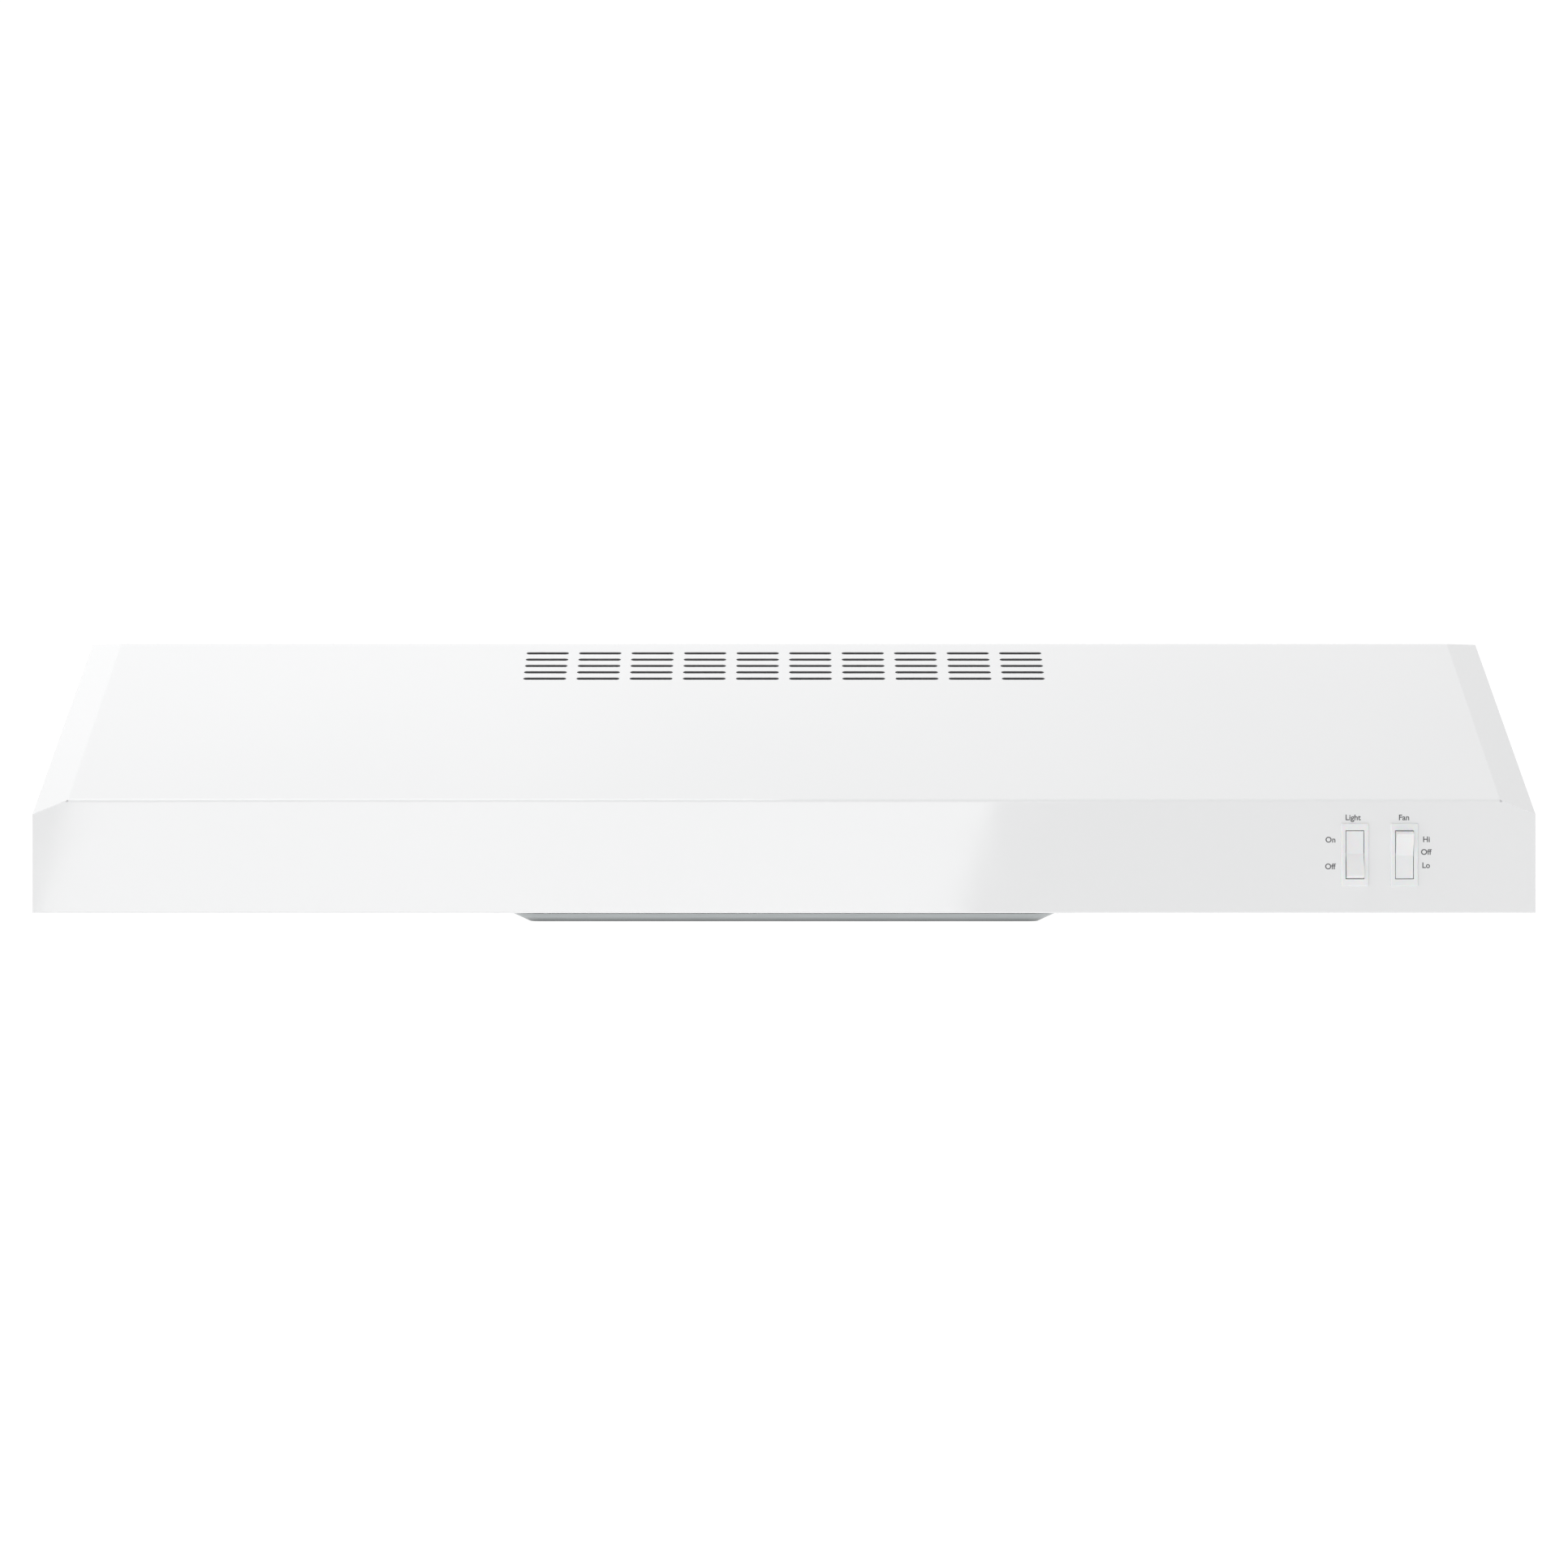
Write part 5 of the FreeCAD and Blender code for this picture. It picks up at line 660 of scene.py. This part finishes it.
def make_bulb_base():
    """Screw base: a helical thread, a shoulder, then the centre contact."""
    pitch, crest = 3.62 * MM, 0.65 * MM
    low, thread_low, thread_high = 46 * MM, 48 * MM, 64 * MM
    collar_r, thread_r = 12.9 * MM, 12.3 * MM

    def thread(x):
        fade = min(1.0, (x - thread_low) / pitch, (thread_high - x) / pitch)
        return lambda angle: crest * max(0.0, fade) * math.cos(2 * math.pi * x / pitch - angle)

    rings = [[(0.0, 0.0, low)]]
    rings.append(circle_ring(low, collar_r, LAMP_SIDES))
    rings.append(circle_ring(thread_low - 0.5 * MM, collar_r, LAMP_SIDES))
    steps = 56
    for i in range(steps + 1):
        x = thread_low + (thread_high - thread_low) * i / steps
        rings.append(circle_ring(x, thread_r, LAMP_SIDES, thread(x)))
    for x, r in ((65.2, 11.4), (66.6, 9.2), (68.0, 6.4), (68.4, 5.0), (70.6, 4.8), (71.6, 3.6), (72.0, 1.8)):
        rings.append(circle_ring(x * MM, r * MM, LAMP_SIDES))
    rings.append([(0.0, 0.0, 72 * MM)])
    verts, faces = rings_to_mesh(rings)
    add_piece("lamp_bulb_screw_base", moved(verts, lamp_place()), faces,
              "bulb_metal", "hood", "lamp_bulb_base")


# ---------------------------------------------------------------- motor coil

def rounded_ring(x, centre, half_y, half_z, radius, arc=6):
    """Rounded rectangle across the X axis, with arc steps round each corner."""
    ring = []
    for quarter, (sy, sz) in enumerate(((1, 1), (-1, 1), (-1, -1), (1, -1))):
        for i in range(arc + 1):
            angle = math.pi / 2 * (quarter + i / arc)
            ring.append((x, centre[0] + sy * (half_y - radius) + radius * math.cos(angle),
                         centre[1] + sz * (half_z - radius) + radius * math.sin(angle)))
    return ring


def make_coil():
    """Wound coil on its bobbin, round the bar of the core."""
    low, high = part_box("motor_coil")
    bar_low, bar_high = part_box("motor_core")
    centre = ((low.y + high.y) / 2, (low.z + high.z) / 2)
    half_y, half_z = (high.y - low.y) / 2, (high.z - low.z) / 2
    bar_y, bar_z = bar_high.y - centre[0], (bar_high.z - bar_low.z) / 2
    plate, wire, inset = 1.6 * MM, 1.1 * MM, 2.4 * MM
    hole_r, plate_r, winding_r = 0.4 * MM, 4 * MM, 5 * MM

    bobbin = []
    for side in (-1, 1):
        edge = high.x * side
        inner = edge - plate * side
        rings = [rounded_ring(edge, centre, bar_y, bar_z, hole_r),
                 rounded_ring(edge, centre, half_y, half_z, plate_r),
                 rounded_ring(inner, centre, half_y, half_z, plate_r),
                 rounded_ring(inner, centre, bar_y, bar_z, hole_r)]
        bobbin.append(rings_to_mesh(rings if side > 0 else rings[::-1], closed=True))
    verts = bobbin[0][0] + bobbin[1][0]
    start = len(bobbin[0][0])
    faces = bobbin[0][1] + [tuple(start + v for v in f) for f in bobbin[1][1]]
    add_piece("motor_coil_bobbin", verts, faces, "nylon", "hood", "motor_coil", smooth=30)

    # Each turn of wire is one ridge along the winding.
    run = high.x - plate
    turns = int(2 * run / wire)
    per_turn, corner_steps = 6, 5
    rings = [rounded_ring(-run, centre, bar_y, bar_z, hole_r, corner_steps)]
    for i in range(turns * per_turn + 1):
        x = -run + 2 * run * i / (turns * per_turn)
        ridge = wire / 2 * abs(math.sin(math.pi * i / per_turn)) ** 0.5
        half = (half_y - inset - wire / 2 + ridge, half_z - inset - wire / 2 + ridge)
        rings.append(rounded_ring(x, centre, *half, winding_r, corner_steps))
    rings.append(rounded_ring(run, centre, bar_y, bar_z, hole_r, corner_steps))
    verts, faces = rings_to_mesh(rings, closed=True)
    add_piece("motor_coil_winding", verts, faces, "winding", "hood", "motor_coil", smooth=70)


# ---------------------------------------------------------------- grease filter and lens

def expanded_layer(low, high, z, shift, cell_x, cell_y, hole_share, thick):
    """One sheet of expanded metal: diamonds that share their corners, each hole a share of its cell."""
    verts, faces, known = [], [], {}

    def vert(x, y, rise, part):
        key = (round(x * 1e7), round(y * 1e7), part)
        if key not in known:
            known[key] = len(verts)
            verts.append((x, y, z + rise))
        return known[key]

    half_x, half_y = cell_x / 2, cell_y / 2
    columns = int((high.x - low.x) / half_x)
    rows = int((high.y - low.y) / half_y)
    start_x = (low.x + high.x) / 2 - columns / 2 * half_x + shift[0]
    start_y = (low.y + high.y) / 2 - rows / 2 * half_y + shift[1]
    lift = 0.22 * MM
    for i in range(columns + 1):
        for j in range(rows + 1):
            if (i + j) % 2:
                continue
            x, y = start_x + i * half_x, start_y + j * half_y
            if x - half_x < low.x or x + half_x > high.x or y - half_y < low.y or y + half_y > high.y:
                continue
            tips = ((1, 0, lift), (0, 1, -lift), (-1, 0, lift), (0, -1, -lift))
            outer = [(x + a * half_x, y + b * half_y, r) for a, b, r in tips]
            inner = [(x + a * half_x * hole_share, y + b * half_y * hole_share, r * 0.6) for a, b, r in tips]
            for layer, side in enumerate((thick / 2, -thick / 2)):
                out = [vert(px, py, r + side, layer) for px, py, r in outer]
                own = [vert(px, py, r + side, 2 + layer) for px, py, r in inner]
                for k in range(4):
                    n = (k + 1) % 4
                    quad = (out[k], out[n], own[n], own[k])
                    faces.append(quad if layer == 0 else quad[::-1])
                if layer == 0:
                    top = own
            for k in range(4):
                n = (k + 1) % 4
                faces.append((top[k], top[n], own[n], own[k]))
    return verts, faces


def close_outline(verts, faces):
    """Walls along every edge that has only one face, so that a two-sided sheet is a closed mesh."""
    used = {}
    for face in faces:
        for a, b in zip(face, face[1:] + face[:1]):
            used[(a, b)] = used.get((a, b), 0) + 1
    loose = {(a, b) for a, b in used if (b, a) not in used}
    by_place = {}
    for a, b in loose:
        key = tuple(sorted(((round(verts[a][0] * 1e7), round(verts[a][1] * 1e7)),
                            (round(verts[b][0] * 1e7), round(verts[b][1] * 1e7)))))
        by_place.setdefault(key, []).append((a, b))
    for key in sorted(by_place):
        pair = sorted(by_place[key], key=lambda edge: -verts[edge[0]][2])
        if len(pair) == 2:
            (a, b), (c, d) = pair
            faces.append((b, a, d, c))
    return faces


def make_filter_mesh():
    """Three shifted sheets of expanded metal in a flat rim."""
    low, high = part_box("filter_mesh")
    cell_x, cell_y, thick, hole_share = 12 * MM, 6 * MM, 0.4 * MM, 0.74
    verts, faces = [], []
    depth = high.z - low.z
    sheets = 3
    for number in range(sheets):
        z = low.z + depth * (number + 0.5) / sheets
        shift = ((number - 1) * cell_x / sheets, (number - 1) * cell_y / sheets)
        own, skin = expanded_layer(low, high, z, shift, cell_x, cell_y, hole_share, thick)
        skin = close_outline(own, skin)
        start = len(verts)
        verts += own
        faces += [tuple(start + v for v in f) for f in skin]
    add_piece("filter_lattice", verts, faces, "aluminium_mesh", "filter_tray", "filter_mesh", smooth=0)
    rim = 6 * MM
    mid = ((low.x + high.x) / 2, (low.y + high.y) / 2)
    half = ((high.x - low.x) / 2, (high.y - low.y) / 2)

    def corner_ring(inset, z):
        return [(mid[0] + sx * (half[0] - inset), mid[1] + sy * (half[1] - inset), z)
                for sx, sy in ((1, 1), (-1, 1), (-1, -1), (1, -1))]

    rings = [corner_ring(0, high.z), corner_ring(rim, high.z), corner_ring(rim, low.z), corner_ring(0, low.z)]
    verts, faces = rings_to_mesh(rings, closed=True)
    add_piece("filter_rim", verts, faces, "aluminium_sheet", "filter_tray", "filter_mesh", smooth=30)


def make_lens():
    """Lens with shallow prisms along its underside and a flat border."""
    low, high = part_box("light_lens")
    border, depth, prisms = 3 * MM, 0.75 * MM, 22
    profile = [(high.y, high.z), (low.y, high.z), (low.y, low.z), (low.y + border, low.z)]
    pitch = (high.y - low.y - 2 * border) / prisms
    for i in range(prisms):
        y = low.y + border + i * pitch
        profile.append((y + pitch / 2, low.z + depth))
        profile.append((y + pitch, low.z))
    profile.append((high.y, low.z))
    count = len(profile)
    stations = (low.x, low.x + 0.5 * MM, high.x - 0.5 * MM, high.x)
    verts = [(x, y, z) for x in stations for y, z in profile]
    faces = []
    for s in range(len(stations) - 1):
        for k in range(count):
            n = (k + 1) % count
            a, b = s * count, (s + 1) * count
            faces.append((a + k, a + n, b + n, b + k))
    faces.append(tuple(range(count))[::-1])
    faces.append(tuple((len(stations) - 1) * count + k for k in range(count)))
    add_piece("light_lens_prismatic", verts, faces, "lens_plastic", "filter_tray", "light_lens", smooth=20)


# ---------------------------------------------------------------- wires and legends

BLACK = (0.02, 0.02, 0.02)
WHITE = (0.80, 0.80, 0.78)
RED = (0.55, 0.03, 0.03)
BLUE = (0.04, 0.10, 0.45)
SWITCH_WIRES = (BLACK, WHITE, RED, BLUE, BLACK)
MOTOR_WIRES = (BLACK, BLUE, WHITE)
LAMP_WIRES = (BLACK, WHITE)


def colour_wires(node, shades):
    """Each wire of a bundle gets its own insulation colour."""
    mesh = nodes[node].data
    mesh.materials.clear()
    for number, (lump, shade) in enumerate(zip(islands(mesh), shades)):
        mesh.materials.append(insulation(f"{node}_{number}", shade).material)
        for i in lump:
            mesh.polygons[i].material_index = number


LIP_Y = -339.8 * MM
LEGEND_CAP = 2.85 * MM
INK_HALF = 0.015 * MM
INK_OFF = 0.02 * MM
INK_SPREAD = 0.018
# Piece name, words, then the middle of the words in millimetres across and up.
LEGENDS = (
    ("light", "Light", 287.2, -93.15), ("fan", "Fan", 313.0, -93.15),
    ("light_on", "On", 275.9, -104.4), ("light_off", "Off", 275.7, -117.9),
    ("fan_high", "Hi", 324.3, -104.2), ("fan_off", "Off", 324.1, -110.6), ("fan_low", "Lo", 324.1, -117.3),
)


def text_mesh(words, size, depth):
    """Letters as a mesh in the XY plane, each side depth deep, a touch bolder than the font."""
    curve = bpy.data.curves.new("words", "FONT")
    curve.body = words
    curve.size = size
    curve.extrude = depth
    curve.offset = INK_SPREAD * size
    curve.align_x = "CENTER"
    holder = bpy.data.objects.new("words", curve)
    scene.collection.objects.link(holder)
    bpy.context.view_layer.update()
    made = bpy.data.meshes.new_from_object(holder.evaluated_get(bpy.context.evaluated_depsgraph_get()))
    bpy.data.objects.remove(holder)
    verts = [tuple(v.co) for v in made.vertices]
    faces = [tuple(p.vertices) for p in made.polygons]
    bpy.data.meshes.remove(made)
    return verts, faces


def make_legends():
    """Generic switch words, printed on the lip."""
    capital, _ = text_mesh("H", 1.0, 0)
    cap = max(v[1] for v in capital) - min(v[1] for v in capital)
    size = LEGEND_CAP / cap
    stand = Matrix.Rotation(math.pi / 2, 4, "X")
    for name, words, x, z in LEGENDS:
        verts, faces = text_mesh(words, size, INK_HALF)
        place = Matrix.Translation((x * MM, LIP_Y - INK_OFF, z * MM - LEGEND_CAP / 2))
        verts = moved(verts, place @ stand)
        add_piece("legend_" + name, verts, faces, None, "hood", look="legend_ink", smooth=0)


# ---------------------------------------------------------------- the whole

make_camera()
make_floor()
make_world()
make_lights()
paint = make_paint()
paint_nodes()
for screws in ("deck_screws", "lamp_screws", "motor_screws",
               "wiring_box_screws", "collar_screws", "canopy_screws"):
    detail_screws(screws, "plated_steel")
detail_screws("ground_screw", "ground_green")
make_bulb()
make_bulb_base()
make_coil()
make_filter_mesh()
make_lens()
colour_wires("wires_switches", SWITCH_WIRES)
colour_wires("wires_motor", MOTOR_WIRES)
colour_wires("wires_lamp", LAMP_WIRES)
make_legends()
